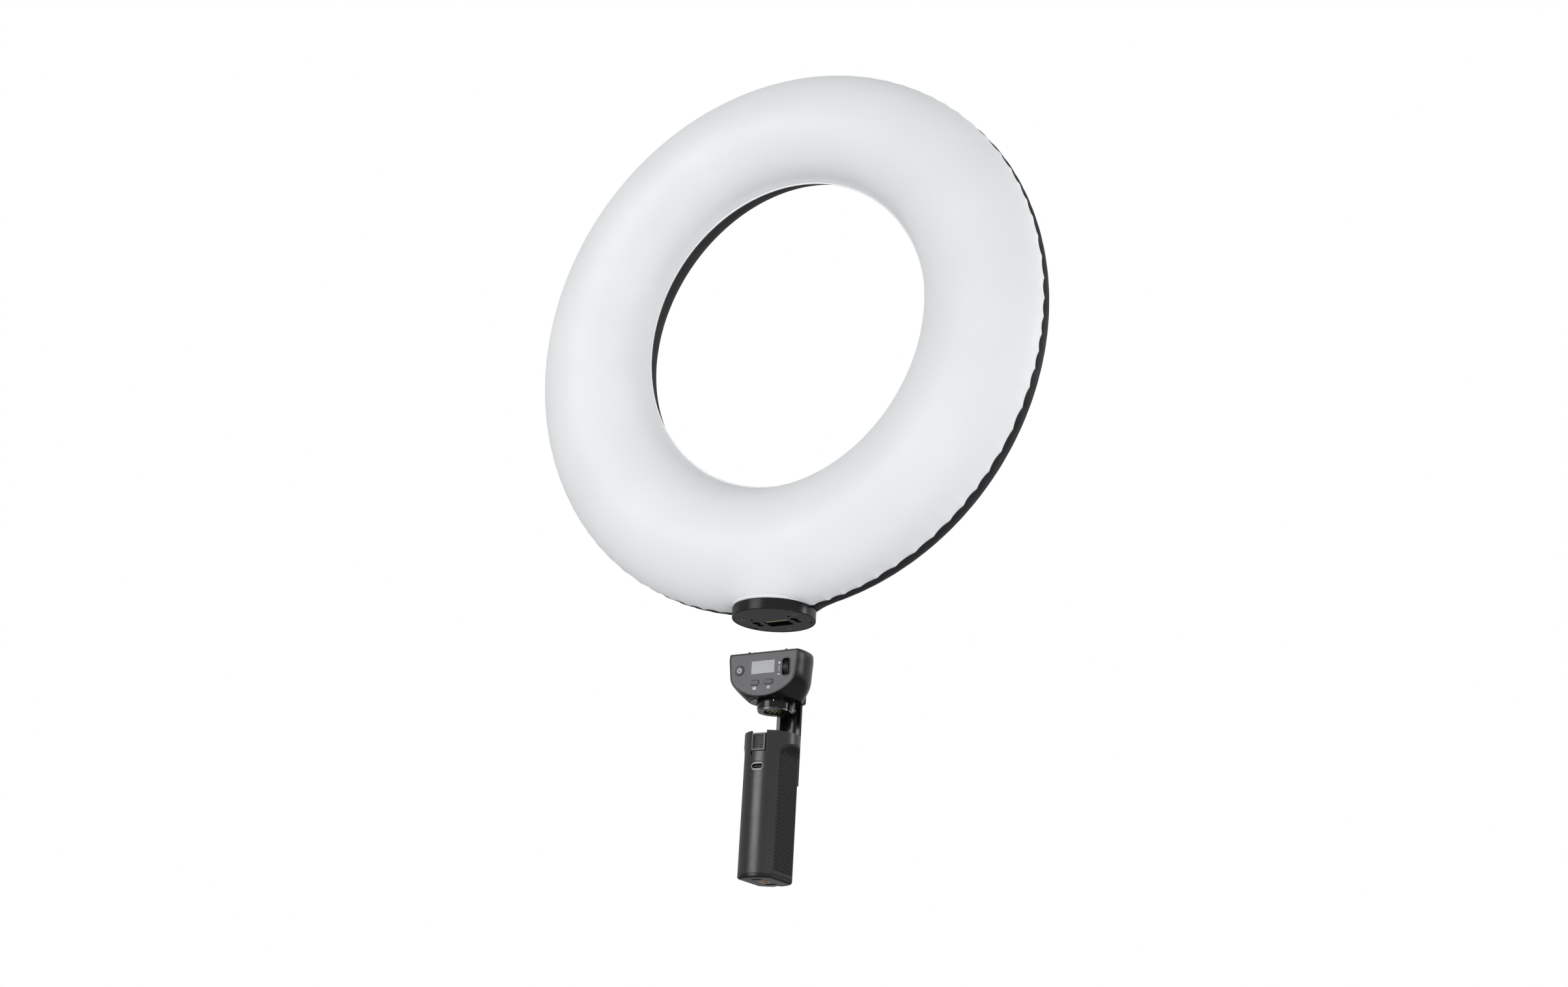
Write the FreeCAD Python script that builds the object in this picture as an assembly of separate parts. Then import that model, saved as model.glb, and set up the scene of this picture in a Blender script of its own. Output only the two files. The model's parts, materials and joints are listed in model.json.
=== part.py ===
import FreeCAD, Part
import math
import os

# Inflatable ring light in three groups, drawn apart on one axis: a soft ring on a round base,
# a control head raised on its rail, and a battery grip. Millimetres.
# Origin at the mouth of the tripod thread under the grip. +X right, +Y to the back, +Z up.

V = FreeCAD.Vector
X_AXIS = V(1, 0, 0)
Y_AXIS = V(0, 1, 0)
Z_AXIS = V(0, 0, 1)

# Inflated ring
RING_RADIUS = 225.0
HOLE_RADIUS = 129.4
HOLE_RISE = 5.7
HOLE_OVAL = 1.2
FRONT_BULGE = 44.0
BACK_BULGE = 45.0
SKIN = 0.6
RING_LEAN = 2.5
RING_CENTRE = V(0, -18.2, 428.1)
SECTIONS_PER_HALF = 9
SEAM_STEP = 2.0
LED_COUNT = 60
VALVE_ANGLE = -52.0
VALVE_FLANGE = 11.0
CUFF_HEIGHT = 17.0
CUFF_SPREAD = 4.0
CUFF_SPLIT_Y = -9.0

# Grip
GRIP_RADIUS = 21.0
GRIP_HEIGHT = 109.5
GRIP_WALL = 1.8
GRIP_BEVEL = 1.2
BOTTOM_PLATE = 3.2
FLAT_X = 14.7
FLAT_TOP = 91.6
SCOOP_RADIUS = 10.5
RIB_PITCH = 1.85
RIB_WIDTH = 0.95
RIB_ANGLE = 40.0
PAD_THICKNESS = 0.5
RIB_HEIGHT = 0.5
PAD_EDGE_RADIUS = 20.5
PAD_BOTTOM = 3.4
RIB_BOTTOM = 6.4
RIB_TOP = 99.0
DECK_RECESS = 0.6
DECK_BOTTOM = 99.3
SOCKET_RADIUS = 13.4
SOCKET_DEPTH = 8.6
THREAD_RADIUS = 3.175
THREAD_DEPTH = 8.0
LATCH_WIDTH = 11.4
LATCH_BOTTOM = 94.3
LATCH_TOP = 107.4
LATCH_RIBS = 8
LATCH_FRAME = 1.2
SPRING_Y = -15.9
WINDOW_WIDTH = 12.9
WINDOW_BOTTOM = 93.9
SLOT_BOTTOM = 91.3
SLOT_WIDTH = 1.3
USB_HEIGHT = 82.5
USB_RECESS = (10.4, 7.0)
USB_FLANGE = (10.1, 6.7)
USB_SHELL = (9.4, 3.7)
USB_MOUTH = (8.9, 3.2)
USB_FLOOR_Y = -19.9
USB_BACK_Y = -13.6
CELL_RADIUS = 9.2
CELL_LENGTH = 65.0
CELL_BOTTOM = 10.0
GUIDE_SCREWS = (83.0, 95.0)
BOTTOM_SCREWS = (-12.0, 9.2)
POCKET_HALF = 4.4
POCKET_LONG = 4.0
POCKET_DEPTH = 1.6
NOTCH_HALF = 2.3
INSERT_NOSE = 3.9
INSERT_FLANGE = 6.2

# Head
HEAD_LIFT = 26.4
HEAD_AXIS_Y = -8.4
FASCIA_Y = -20.5
FASCIA_DEPTH = 1.6
FASCIA_MARGIN = 1.2
REVEAL = 0.3
HEAD_WALL = 2.0
HEAD_FLOOR = 6.0
PLUG_RADIUS = 13.05
PLUG_DEPTH = 8.2
PLUG_SLEEVE = 11.0
PLUG_NECK = 8.9
PLUG_BORE = 8.2
PIN_END = 0.6
INSULATOR_FACE = 1.6
LEDGE = 3.4
PIN_RINGS = ((9, 5.2), (4, 2.1))
HEAD_HEIGHT = 34.1
HEAD_RADIUS = 31.7
# The bowl swells from a round foot over the grip's axis to the wide round top
FOOT_RADIUS = 20.6
SHOULDER_HEIGHT = 16.1
SHOULDER_RADIUS = 30.9
SHOULDER_Y = -8.0
BOWL_STEPS = 4
SCREEN_SIZE = (20.3, 10.2)
POWER_RADIUS = 3.7
PILL_SIZE = (7.4, 3.5)
KEY_GAP = 0.35
WHEEL_RADIUS = 7.5
WHEEL_WIDTH = 4.6
WHEEL_GROOVES = 28
WHEEL_PROUD = 1.4
AXLE_RADIUS = 0.75
BOARD_Y = -5.4
STUD_X = 16.1
STUD_Y = -7.0
HOOK_Y = -14.4
STUD_HEIGHT = 4.2
STUD_NECK = 1.0
STUD_CROWN = 1.7
HOOK_HEIGHT = 2.5
HOOK_HALF = (0.6, 0.75)
RELEASE_CORNERS = ((-15.8, -9.3), (-6.2, -15.4), (-18.3, 2.6))
RELEASE_ROUND = 1.1
SWING_X = 15.0
SWING_Y = 2.0

# Rail
RAIL_HALF = 10.3
RAIL_FRONT = 21.8
RAIL_CORNER = 24.5
RAIL_BACK = 28.6
RAIL_WALL = 1.4
MOUTH_HALF = 7.2
UNDERCUT_HALF = 8.7
RAIL_BOTTOM = 76.0
RAIL_TOP = 162.0
RAIL_CLEAR = 0.25
GUIDE_BOTTOM = 79.0
GUIDE_TOP = 105.0
BRACKET_FRONT = 17.0
BRACKET_BACK = 31.0
BRACKET_HALF = 12.0

# Base disc of the ring
RING_LIFT = 27.7
BASE_RADIUS = 32.2
BASE_HEIGHT = 8.7
BASE_WALL = 1.0
BASE_ROOF = 1.8
PLATE_LIFT = 0.2
PLATE_THICKNESS = 1.8
BASE_SCREWS = ((-22.4, -17.0), (22.4, -17.0), (0.0, 14.9))
KEYHOLE_X = 16.6
KEYHOLE_WIDE = (3.2, -6.0)
KEYHOLE_NARROW = (2.5, 0.4)
TAB_SLOT_X = 24.4
TAB_SLOT_Y = (-1.9, 7.5)
PINHOLE_AT = (-18.0, 12.8)
RECESS_HALF = 10.2
RECESS_Y = (-7.1, 6.0)
CONTACT_COUNT = 10
CONTACT_PITCH = 1.9
LOCK_LIFT = 2.3
LOCK_THICKNESS = 0.7

# Heights that follow
HEAD_BASE = GRIP_HEIGHT + HEAD_LIFT
HEAD_TOP = HEAD_BASE + HEAD_HEIGHT
PLUG_FACE = HEAD_BASE - PLUG_DEPTH
BASE_BOTTOM = HEAD_TOP + RING_LIFT
BASE_TOP = BASE_BOTTOM + BASE_HEIGHT
BASE_Y = HEAD_AXIS_Y
SCREEN_Z = HEAD_TOP - 11.8
POWER_AT = (-20.2, HEAD_TOP - 13.2)
MENU_AT = (-6.4, HEAD_TOP - 23.7)
MODE_AT = (5.7, HEAD_TOP - 23.7)
WHEEL_AT = (20.1, HEAD_TOP - 13.2)
WHEEL_Y = FASCIA_Y + WHEEL_RADIUS - WHEEL_PROUD
SWING_PIVOT_Z = HEAD_BASE + 3.0
SOCKET_FLOOR = GRIP_HEIGHT - SOCKET_DEPTH
POST_TOP = SOCKET_FLOOR + 0.3
BRACKET_SCREWS = (HEAD_BASE + 8.0, HEAD_BASE + 14.0)
PLATE_BOTTOM = BASE_BOTTOM + PLATE_LIFT
PLATE_TOP = PLATE_BOTTOM + PLATE_THICKNESS
LOCK_BOTTOM = BASE_BOTTOM + LOCK_LIFT
LOCK_TOP = LOCK_BOTTOM + LOCK_THICKNESS


def block(x0, x1, y0, y1, z0, z1):
    return Part.makeBox(x1 - x0, y1 - y0, z1 - z0, V(x0, y0, z0))


def rod(radius, z0, z1, x=0.0, y=0.0):
    return Part.makeCylinder(radius, z1 - z0, V(x, y, z0))


def tube(outer, inner, z0, z1, x=0.0, y=0.0):
    return rod(outer, z0, z1, x, y).cut(rod(inner, z0 - 1, z1 + 1, x, y))


def rod_y(radius, y0, y1, x, z):
    return Part.makeCylinder(radius, y1 - y0, V(x, y0, z), Y_AXIS)


def rod_x(radius, x0, x1, y, z):
    return Part.makeCylinder(radius, x1 - x0, V(x0, y, z), X_AXIS)


def pill_y(width, height, y0, y1, x, z):
    """A flat-sided bar with round ends, lying across and standing along Y."""
    half = height / 2.0
    reach = width / 2.0 - half
    bar = block(x - reach, x + reach, y0, y1, z - half, z + half)
    return bar.fuse([rod_y(half, y0, y1, x - reach, z), rod_y(half, y0, y1, x + reach, z)]).removeSplitter()


def group(shapes):
    return Part.makeCompound(shapes)


def screw_down(x, y, face_z, head_radius, length):
    """A countersunk screw whose head shows underneath, with a cross slot."""
    head = Part.makeCone(head_radius, 1.1, 1.1, V(x, y, face_z))
    shank = rod(1.1, face_z + 1.1, face_z + length, x, y)
    slot_a = block(x - 1.2, x + 1.2, y - 0.25, y + 0.25, face_z - 1, face_z + 0.5)
    slot_b = block(x - 0.25, x + 0.25, y - 1.2, y + 1.2, face_z - 1, face_z + 0.5)
    return head.fuse(shank).cut(slot_a.fuse(slot_b)).removeSplitter()


# Ring

def hole_radius(angle):
    return HOLE_RADIUS + HOLE_RISE * math.sin(angle) - HOLE_OVAL * math.cos(2 * angle)


def half_section(angle, bulge, inset):
    """Half an ellipse across the tube at this angle round the ring, closed along the seam plane."""
    inner = hole_radius(angle) + inset
    outer = RING_RADIUS - inset
    middle = (inner + outer) / 2.0
    reach = (outer - inner) / 2.0
    depth = bulge - math.copysign(inset, bulge)
    radial = V(math.cos(angle), 0, math.sin(angle))
    start = radial * outer
    end = radial * inner
    points = []
    for step in range(1, 6):
        turn = math.pi * step / 6.0
        points.append(radial * (middle + reach * math.cos(turn)) + Y_AXIS * (depth * math.sin(turn)))
    curve = Part.BSplineCurve()
    curve.interpolate(Points=[start] + points + [end],
                      InitialTangent=Y_AXIS * math.copysign(1, bulge),
                      FinalTangent=Y_AXIS * -math.copysign(1, bulge))
    return Part.Wire([curve.toShape(), Part.makeLine(end, start)])


def half_tube(bulge, inset):
    """The right half of the tube on one side of the seam, from the ring's foot to its crown."""
    wires = []
    for index in range(SECTIONS_PER_HALF):
        angle = math.radians(-90.0 + 180.0 * index / (SECTIONS_PER_HALF - 1))
        wires.append(half_section(angle, bulge, inset))
    return Part.makeLoft(wires, True, False)


def place_ring(shape):
    shape = shape.copy()
    shape.rotate(V(0, 0, 0), X_AXIS, RING_LEAN)
    shape.translate(RING_CENTRE)
    return shape


def ring_foot():
    return rod(BASE_RADIUS + 0.1, BASE_BOTTOM - 10, BASE_TOP + 0.05, 0, BASE_Y)


def ring_skin(bulge):
    right = half_tube(bulge, 0.0).cut(half_tube(bulge, SKIN))
    left = right.mirror(V(0, 0, 0), X_AXIS)
    skin = place_ring(right.fuse(left)).cut(ring_foot())
    if bulge < 0:
        return skin
    x, z = valve_place()
    return skin.cut(place_ring(rod_y(VALVE_FLANGE, BACK_BULGE - 0.6, BACK_BULGE + 6, x, z)))


def full_tube():
    right = half_tube(-FRONT_BULGE, 0.0).fuse(half_tube(BACK_BULGE, 0.0))
    return place_ring(right.fuse(right.mirror(V(0, 0, 0), X_AXIS)))


def seam_band():
    """The narrow welded edge that stands into the hole all round."""
    wires = []
    for radius_step in (0.0, -SEAM_STEP):
        points = []
        for index in range(24):
            angle = 2 * math.pi * index / 24
            radius = hole_radius(angle) + radius_step
            points.append(V(radius * math.cos(angle), -0.5, radius * math.sin(angle)))
        curve = Part.BSplineCurve()
        curve.interpolate(Points=points, PeriodicFlag=True)
        wires.append(Part.Wire([curve.toShape()]))
    outer = Part.Face(wires[0]).extrude(V(0, 1, 0))
    inner = Part.Face(wires[1]).extrude(V(0, 1, 0))
    return place_ring(outer.cut(inner))


def strip_middle():
    return (RING_RADIUS + HOLE_RADIUS) / 2.0


def led_strip():
    middle = strip_middle()
    at = V(0, BACK_BULGE - 3.0, HOLE_RISE / 2.0)
    ring = Part.makeCylinder(middle + 5, 1.2, at, Y_AXIS)
    return place_ring(ring.cut(Part.makeCylinder(middle - 5, 1.2, at, Y_AXIS)))


def led_chips():
    chips = []
    middle = strip_middle()
    for index in range(LED_COUNT):
        chip = block(-2.5, 2.5, BACK_BULGE - 4.2, BACK_BULGE - 3.0, middle - 2.5, middle + 2.5)
        chip.rotate(V(0, 0, 0), Y_AXIS, 360.0 * index / LED_COUNT)
        chip.translate(V(0, 0, HOLE_RISE / 2.0))
        chips.append(place_ring(chip))
    return group(chips)


def valve_place():
    angle = math.radians(VALVE_ANGLE)
    middle = (RING_RADIUS + hole_radius(angle)) / 2.0
    return middle * math.cos(angle), middle * math.sin(angle)


def air_valve():
    x, z = valve_place()
    flange = rod_y(VALVE_FLANGE, BACK_BULGE - 0.6, BACK_BULGE + 0.8, x, z)
    stub = rod_y(7.0, BACK_BULGE + 0.8, BACK_BULGE + 5.0, x, z)
    bore = rod_y(4.5, BACK_BULGE - 2, BACK_BULGE + 6, x, z)
    return place_ring(flange.fuse(stub).cut(bore).removeSplitter())


def valve_cap():
    x, z = valve_place()
    base = BACK_BULGE + 5.1
    crown = rod_y(8.4, base, base + 2.4, x, z)
    spigot = rod_y(4.2, base - 3.5, base, x, z)
    tab = block(x - 2.5, x + 2.5, base, base + 1.4, z + 6, z + 12)
    return place_ring(crown.fuse([spigot, tab]).removeSplitter())


def cuff(front):
    """The skirt of cloth from the base disc up to the tube, one half white and one half black."""
    low = BASE_TOP
    high = low + CUFF_HEIGHT
    cone = Part.makeCone(BASE_RADIUS - 0.9, BASE_RADIUS + CUFF_SPREAD, CUFF_HEIGHT, V(0, BASE_Y, low))
    core = Part.makeCone(BASE_RADIUS - 1.9, BASE_RADIUS + CUFF_SPREAD - 1.0, CUFF_HEIGHT, V(0, BASE_Y, low))
    skirt = cone.cut(core).cut(full_tube())
    if front:
        side = block(-60, 60, -80, CUFF_SPLIT_Y, low - 1, high + 1)
    else:
        side = block(-60, 60, CUFF_SPLIT_Y, 80, low - 1, high + 1)
    pieces = sorted(skirt.common(side).Solids, key=lambda solid: solid.Volume)
    return pieces[-1]


# Base disc

def base_cutouts(bottom, top):
    """Keyholes that the studs enter by their wide lobes, and the small slots that clear the hooks."""
    tools = []
    for side in (-1, 1):
        x = side * KEYHOLE_X
        tools.append(rod(KEYHOLE_WIDE[0], bottom, top, x, KEYHOLE_WIDE[1]))
        tools.append(rod(KEYHOLE_NARROW[0], bottom, top, x, KEYHOLE_NARROW[1]))
        tools.append(block(x - 1.7, x + 1.7, KEYHOLE_WIDE[1], KEYHOLE_NARROW[1], bottom, top))
        hook = side * STUD_X
        tools.append(block(hook - 1.0, hook + 1.0, HOOK_Y - 1.15, HOOK_Y + 1.9, bottom, top))
    return tools[0].fuse(tools[1:])


def base_shell():
    cup = rod(BASE_RADIUS, BASE_BOTTOM, BASE_TOP, 0, BASE_Y)
    rim = [edge for edge in cup.Edges if len(edge.Vertexes) == 1]
    cup = cup.makeFillet(0.7, rim)
    inside = rod(BASE_RADIUS - BASE_WALL, BASE_BOTTOM - 1, BASE_TOP - BASE_ROOF, 0, BASE_Y)
    cable_hole = rod(6.0, BASE_TOP - 3, BASE_TOP + 1, 0, BASE_Y)
    shell = cup.cut([inside, cable_hole])
    bosses = []
    for x, y in BASE_SCREWS:
        bosses.append(rod(2.4, PLATE_TOP + 0.1, BASE_TOP - BASE_ROOF + 0.1, x, y))
    shell = shell.fuse(bosses)
    holes = [rod(1.1, BASE_BOTTOM + 1, BASE_TOP - BASE_ROOF, x, y) for x, y in BASE_SCREWS]
    return shell.cut(holes).removeSplitter()


def base_plate():
    bottom = PLATE_BOTTOM
    top = PLATE_TOP
    plate = rod(BASE_RADIUS - BASE_WALL - 0.1, bottom, top, 0, BASE_Y)
    cuts = [base_cutouts(bottom - 1, top + 1)]
    cuts.append(block(-RECESS_HALF, RECESS_HALF, RECESS_Y[0], RECESS_Y[1], bottom - 1, top + 1))
    for x in (-TAB_SLOT_X, TAB_SLOT_X):
        cuts.append(block(x - 0.8, x + 0.8, TAB_SLOT_Y[0], TAB_SLOT_Y[1], bottom - 1, top + 1))
    for x, y in BASE_SCREWS:
        cuts.append(Part.makeCone(2.0, 1.15, 1.1, V(x, y, bottom)))
        cuts.append(rod(1.15, bottom, top + 1, x, y))
    cuts.append(rod(0.7, bottom - 1, top + 1, *PINHOLE_AT))
    return plate.cut(cuts)


def base_screws():
    return group([screw_down(x, y, PLATE_BOTTOM, 1.95, 5.5) for x, y in BASE_SCREWS])


def contact_block():
    """The tray over the base plate's window, which carries the row of ten contacts."""
    low = PLATE_TOP
    tray = block(-RECESS_HALF - 1.5, RECESS_HALF + 1.5, RECESS_Y[0] - 1.5, RECESS_Y[1] + 1.5, low, low + 3.0)
    hollow = block(-RECESS_HALF, RECESS_HALF, RECESS_Y[0], RECESS_Y[1], low - 1, low + 1.8)
    return tray.cut(hollow)


def contact_x(index):
    return (index - (CONTACT_COUNT - 1) / 2.0) * CONTACT_PITCH


def base_contacts():
    """Gold leaves that lie across the window's front edge, each on a leg up to the tray."""
    fingers = []
    low = BASE_BOTTOM + 0.8
    front = RECESS_Y[0] + 0.4
    for index in range(CONTACT_COUNT):
        x = contact_x(index)
        leaf = block(x - 0.45, x + 0.45, front, front + 3.8, low, low + 0.4)
        leg = block(x - 0.45, x + 0.45, front, front + 0.5, low, PLATE_TOP + 1.8)
        fingers.append(leaf.fuse(leg).removeSplitter())
    return group(fingers)


def lock_plate():
    """The sliding plate that closes under the studs' crowns, with a finger tab in each thin slot."""
    plate = block(-21.0, 21.0, 8.0, 10.4, LOCK_BOTTOM, LOCK_TOP)
    parts = []
    gaps = []
    for side in (-1, 1):
        arm = sorted((side * 12.8, side * 21.0))
        wing = sorted((side * 20.0, side * 25.2))
        tab = side * TAB_SLOT_X
        parts.append(block(arm[0], arm[1], -12.3, 8.1, LOCK_BOTTOM, LOCK_TOP))
        parts.append(block(wing[0], wing[1], -4.0, 5.6, LOCK_BOTTOM, LOCK_TOP))
        parts.append(block(tab - 0.5, tab + 0.5, TAB_SLOT_Y[0] + 0.5, TAB_SLOT_Y[0] + 6.5,
                           LOCK_BOTTOM - 1.7, LOCK_TOP))
        stud = side * STUD_X
        gaps.append(rod(STUD_CROWN + 0.6, LOCK_BOTTOM - 1, LOCK_TOP + 1, stud, STUD_Y))
        half = STUD_NECK + 0.4
        gaps.append(block(stud - half, stud + half, STUD_Y - 4.5, STUD_Y, LOCK_BOTTOM - 1, LOCK_TOP + 1))
    return plate.fuse(parts).cut(gaps).removeSplitter()


# Head

def bowl(inset, low, high):
    sections = []
    for step in range(BOWL_STEPS + 1):
        climb = step / float(BOWL_STEPS)
        swell = math.sin(math.pi * climb / 2.0)
        radius = FOOT_RADIUS + (SHOULDER_RADIUS - FOOT_RADIUS) * swell
        sections.append((SHOULDER_HEIGHT * climb, SHOULDER_Y * swell, radius))
    sections.append((SHOULDER_HEIGHT + 8.0, HEAD_AXIS_Y, HEAD_RADIUS - 0.1))
    sections.append((HEAD_HEIGHT, HEAD_AXIS_Y, HEAD_RADIUS))
    wires = []
    for height, middle, radius in sections:
        circle = Part.Circle(V(0, middle, HEAD_BASE + height), Z_AXIS, radius - inset)
        wires.append(Part.Wire([circle.toShape()]))
    solid = Part.makeLoft(wires, True, False)
    return solid.common(block(-50, 50, -50, 50, low, high))


def fascia_tool(inset, depth):
    slab = block(-50, 50, FASCIA_Y, FASCIA_Y + depth, HEAD_BASE - 5, HEAD_TOP - inset)
    return bowl(inset, HEAD_BASE, HEAD_TOP).common(slab)


def head_shell():
    front = block(-50, 50, FASCIA_Y, 50, HEAD_BASE - 1, HEAD_TOP + 1)
    outside = bowl(0.0, HEAD_BASE, HEAD_TOP).common(front)
    behind_fascia = block(-50, 50, FASCIA_Y + FASCIA_DEPTH + 1.0, 50, HEAD_BASE, HEAD_TOP + 1)
    cavity = bowl(HEAD_WALL, HEAD_BASE + HEAD_FLOOR, HEAD_TOP).common(behind_fascia)
    mouth = rod(HEAD_RADIUS - HEAD_WALL, HEAD_TOP - 1.9, HEAD_TOP + 1, 0, HEAD_AXIS_Y).common(behind_fascia)
    window = block(-25.0, 25.0, FASCIA_Y + 0.5, FASCIA_Y + 4, HEAD_TOP - 20.0, HEAD_TOP - 3.0)
    lower_window = block(-13.5, 13.5, FASCIA_Y + 0.5, FASCIA_Y + 4, HEAD_TOP - 27.0, HEAD_TOP - 3.0)
    plug_hole = rod(PLUG_NECK + 0.1, HEAD_BASE - 1, HEAD_BASE + 8)
    button_hole = release_bar(0.2, HEAD_BASE - 1, HEAD_BASE + HEAD_FLOOR + 1)
    hook_slot = block(SWING_X - 1.4, SWING_X + 2.4, SWING_Y - 1.9, SWING_Y + 1.9,
                      HEAD_BASE - 1, HEAD_BASE + HEAD_FLOOR + 1)
    pin_hole = rod_y(0.55, SWING_Y - 3.2, SWING_Y + 3.2, SWING_X, SWING_PIVOT_Z)
    front_recess = fascia_tool(FASCIA_MARGIN - REVEAL, FASCIA_DEPTH)
    return outside.cut([cavity, mouth, front_recess, window, lower_window, plug_hole, button_hole, hook_slot,
                        pin_hole])


def fascia():
    plate = fascia_tool(FASCIA_MARGIN, FASCIA_DEPTH)
    back = FASCIA_Y + FASCIA_DEPTH + 1
    front = FASCIA_Y - 1
    wide, tall = SCREEN_SIZE
    cuts = [block(-wide / 2, wide / 2, front, back, SCREEN_Z - tall / 2, SCREEN_Z + tall / 2)]
    cuts.append(rod_y(POWER_RADIUS + KEY_GAP, front, back, *POWER_AT))
    for at in (MENU_AT, MODE_AT):
        cuts.append(pill_y(PILL_SIZE[0] + 2 * KEY_GAP, PILL_SIZE[1] + 2 * KEY_GAP, front, back, *at))
    cuts.append(bezel_outline(0.0, front, back))
    return plate.cut(cuts)


def bezel_outline(grow, y0, y1):
    """The upright rounded window of the thumb wheel."""
    x, z = WHEEL_AT
    outline = block(x - 3.8 - grow, x + 3.8 + grow, y0, y1, z - 7.15 - grow, z + 7.15 + grow)
    upright = [edge for edge in outline.Edges if abs(edge.tangentAt(edge.FirstParameter).y) > 0.99]
    return outline.makeFillet(2.6 + grow, upright)


def wheel_bezel():
    ring = bezel_outline(-0.05, FASCIA_Y - 0.3, FASCIA_Y + FASCIA_DEPTH)
    slot = bezel_outline(-0.8, FASCIA_Y - 1, FASCIA_Y + FASCIA_DEPTH + 1)
    return ring.cut(slot)


def thumb_wheel():
    x, z = WHEEL_AT
    half = WHEEL_WIDTH / 2.0
    wheel = rod_x(WHEEL_RADIUS, x - half, x + half, WHEEL_Y, z)
    wheel = wheel.makeChamfer(0.6, [edge for edge in wheel.Edges if len(edge.Vertexes) == 1])
    grooves = []
    for index in range(WHEEL_GROOVES):
        groove = block(x - WHEEL_WIDTH, x + WHEEL_WIDTH, WHEEL_Y - 0.35, WHEEL_Y + 0.35,
                       z + WHEEL_RADIUS - 0.45, z + WHEEL_RADIUS + 1)
        groove.rotate(V(x, WHEEL_Y, z), X_AXIS, 360.0 * index / WHEEL_GROOVES)
        grooves.append(groove)
    return wheel.cut(grooves).cut(rod_x(AXLE_RADIUS + 0.05, x - 10, x + 10, WHEEL_Y, z))


def wheel_axle():
    x, z = WHEEL_AT
    return rod_x(AXLE_RADIUS, x - 4.4, x + 4.4, WHEEL_Y, z)


def wheel_fork():
    """The two cheeks on the board that carry the wheel's axle."""
    x, z = WHEEL_AT
    cheeks = []
    for side in (-1, 1):
        low, high = sorted((x + side * 2.7, x + side * 4.2))
        cheek = block(low, high, WHEEL_Y - 2.2, BOARD_Y, z - 2.2, z + 2.2)
        cheeks.append(cheek.cut(rod_x(AXLE_RADIUS + 0.01, x - 6, x + 6, WHEEL_Y, z)))
    return group(cheeks)


def control_board():
    board = block(-24.0, 25.0, BOARD_Y, BOARD_Y + 1.6, HEAD_TOP - 26.0, HEAD_TOP - 4.0)
    chips = [block(-8, 0, BOARD_Y + 1.6, BOARD_Y + 2.8, HEAD_TOP - 16, HEAD_TOP - 8),
             block(6, 14, BOARD_Y + 1.6, BOARD_Y + 5.6, HEAD_TOP - 20, HEAD_TOP - 12)]
    return board.fuse(chips).removeSplitter()


def key_stem(x, z):
    """A stem that carries a key cap back to its switch on the board."""
    return rod_y(1.2, FASCIA_Y + FASCIA_DEPTH + 0.5, BOARD_Y - 1.0, x, z)


def power_button():
    cap = rod_y(POWER_RADIUS, FASCIA_Y - 0.4, FASCIA_Y + FASCIA_DEPTH + 0.5, *POWER_AT)
    return cap.fuse(key_stem(*POWER_AT)).removeSplitter()


def pill_button(at):
    cap = pill_y(PILL_SIZE[0], PILL_SIZE[1], FASCIA_Y - 0.5, FASCIA_Y + FASCIA_DEPTH + 0.5, *at)
    return cap.fuse(key_stem(*at)).removeSplitter()


def screen_window():
    wide, tall = SCREEN_SIZE
    pane = block(-wide / 2 + 0.1, wide / 2 - 0.1, FASCIA_Y + 0.1, FASCIA_Y + 0.9,
                 SCREEN_Z - tall / 2 + 0.1, SCREEN_Z + tall / 2 - 0.1)
    return pane


def lcd_module():
    wide, tall = SCREEN_SIZE
    return block(-wide / 2 - 1, wide / 2 + 1, FASCIA_Y + FASCIA_DEPTH + 0.2, FASCIA_Y + FASCIA_DEPTH + 2.8,
                 SCREEN_Z - tall / 2 - 1.2, SCREEN_Z + tall / 2 + 1.2)


def head_top_plate():
    plate = rod(HEAD_RADIUS - HEAD_WALL - 0.1, HEAD_TOP - 1.6, HEAD_TOP, 0, HEAD_AXIS_Y)
    front = block(-50, 50, FASCIA_Y + FASCIA_DEPTH + 1.1, 50, HEAD_TOP - 2, HEAD_TOP + 1)
    holes = []
    for x in (-STUD_X, STUD_X):
        holes.append(rod(STUD_NECK, HEAD_TOP - 2, HEAD_TOP + 1, x, STUD_Y))
        holes.append(hook_post(x, HEAD_TOP - 2, HEAD_TOP + 1))
    return plate.common(front).cut(holes)


def mount_studs():
    studs = []
    for x in (-STUD_X, STUD_X):
        neck = rod(STUD_NECK, HEAD_TOP - 1.6, HEAD_TOP + STUD_HEIGHT - 0.8, x, STUD_Y)
        foot = rod(2.6, HEAD_TOP - 3.0, HEAD_TOP - 1.6, x, STUD_Y)
        crown = rod(STUD_CROWN, HEAD_TOP + STUD_HEIGHT - 0.9, HEAD_TOP + STUD_HEIGHT, x, STUD_Y)
        studs.append(neck.fuse([foot, crown]).removeSplitter())
    return group(studs)


def hook_post(x, low, high):
    return block(x - HOOK_HALF[0], x + HOOK_HALF[0], HOOK_Y - HOOK_HALF[1], HOOK_Y + HOOK_HALF[1], low, high)


def lock_hooks():
    """Two small guide hooks in front of the studs, each with a nib to the back."""
    hooks = []
    high = HEAD_TOP + HOOK_HEIGHT
    for x in (-STUD_X, STUD_X):
        nib = block(x - HOOK_HALF[0], x + HOOK_HALF[0], HOOK_Y, HOOK_Y + 1.5, high - 0.7, high)
        hooks.append(hook_post(x, HEAD_TOP - 1.6, high).fuse(nib).removeSplitter())
    return group(hooks)


def contact_tower():
    """The low bar under the ring's row of contacts."""
    return block(-9.6, 9.6, RECESS_Y[0] + 0.2, RECESS_Y[0] + 4.6, HEAD_TOP, HEAD_TOP + 0.55)


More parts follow.
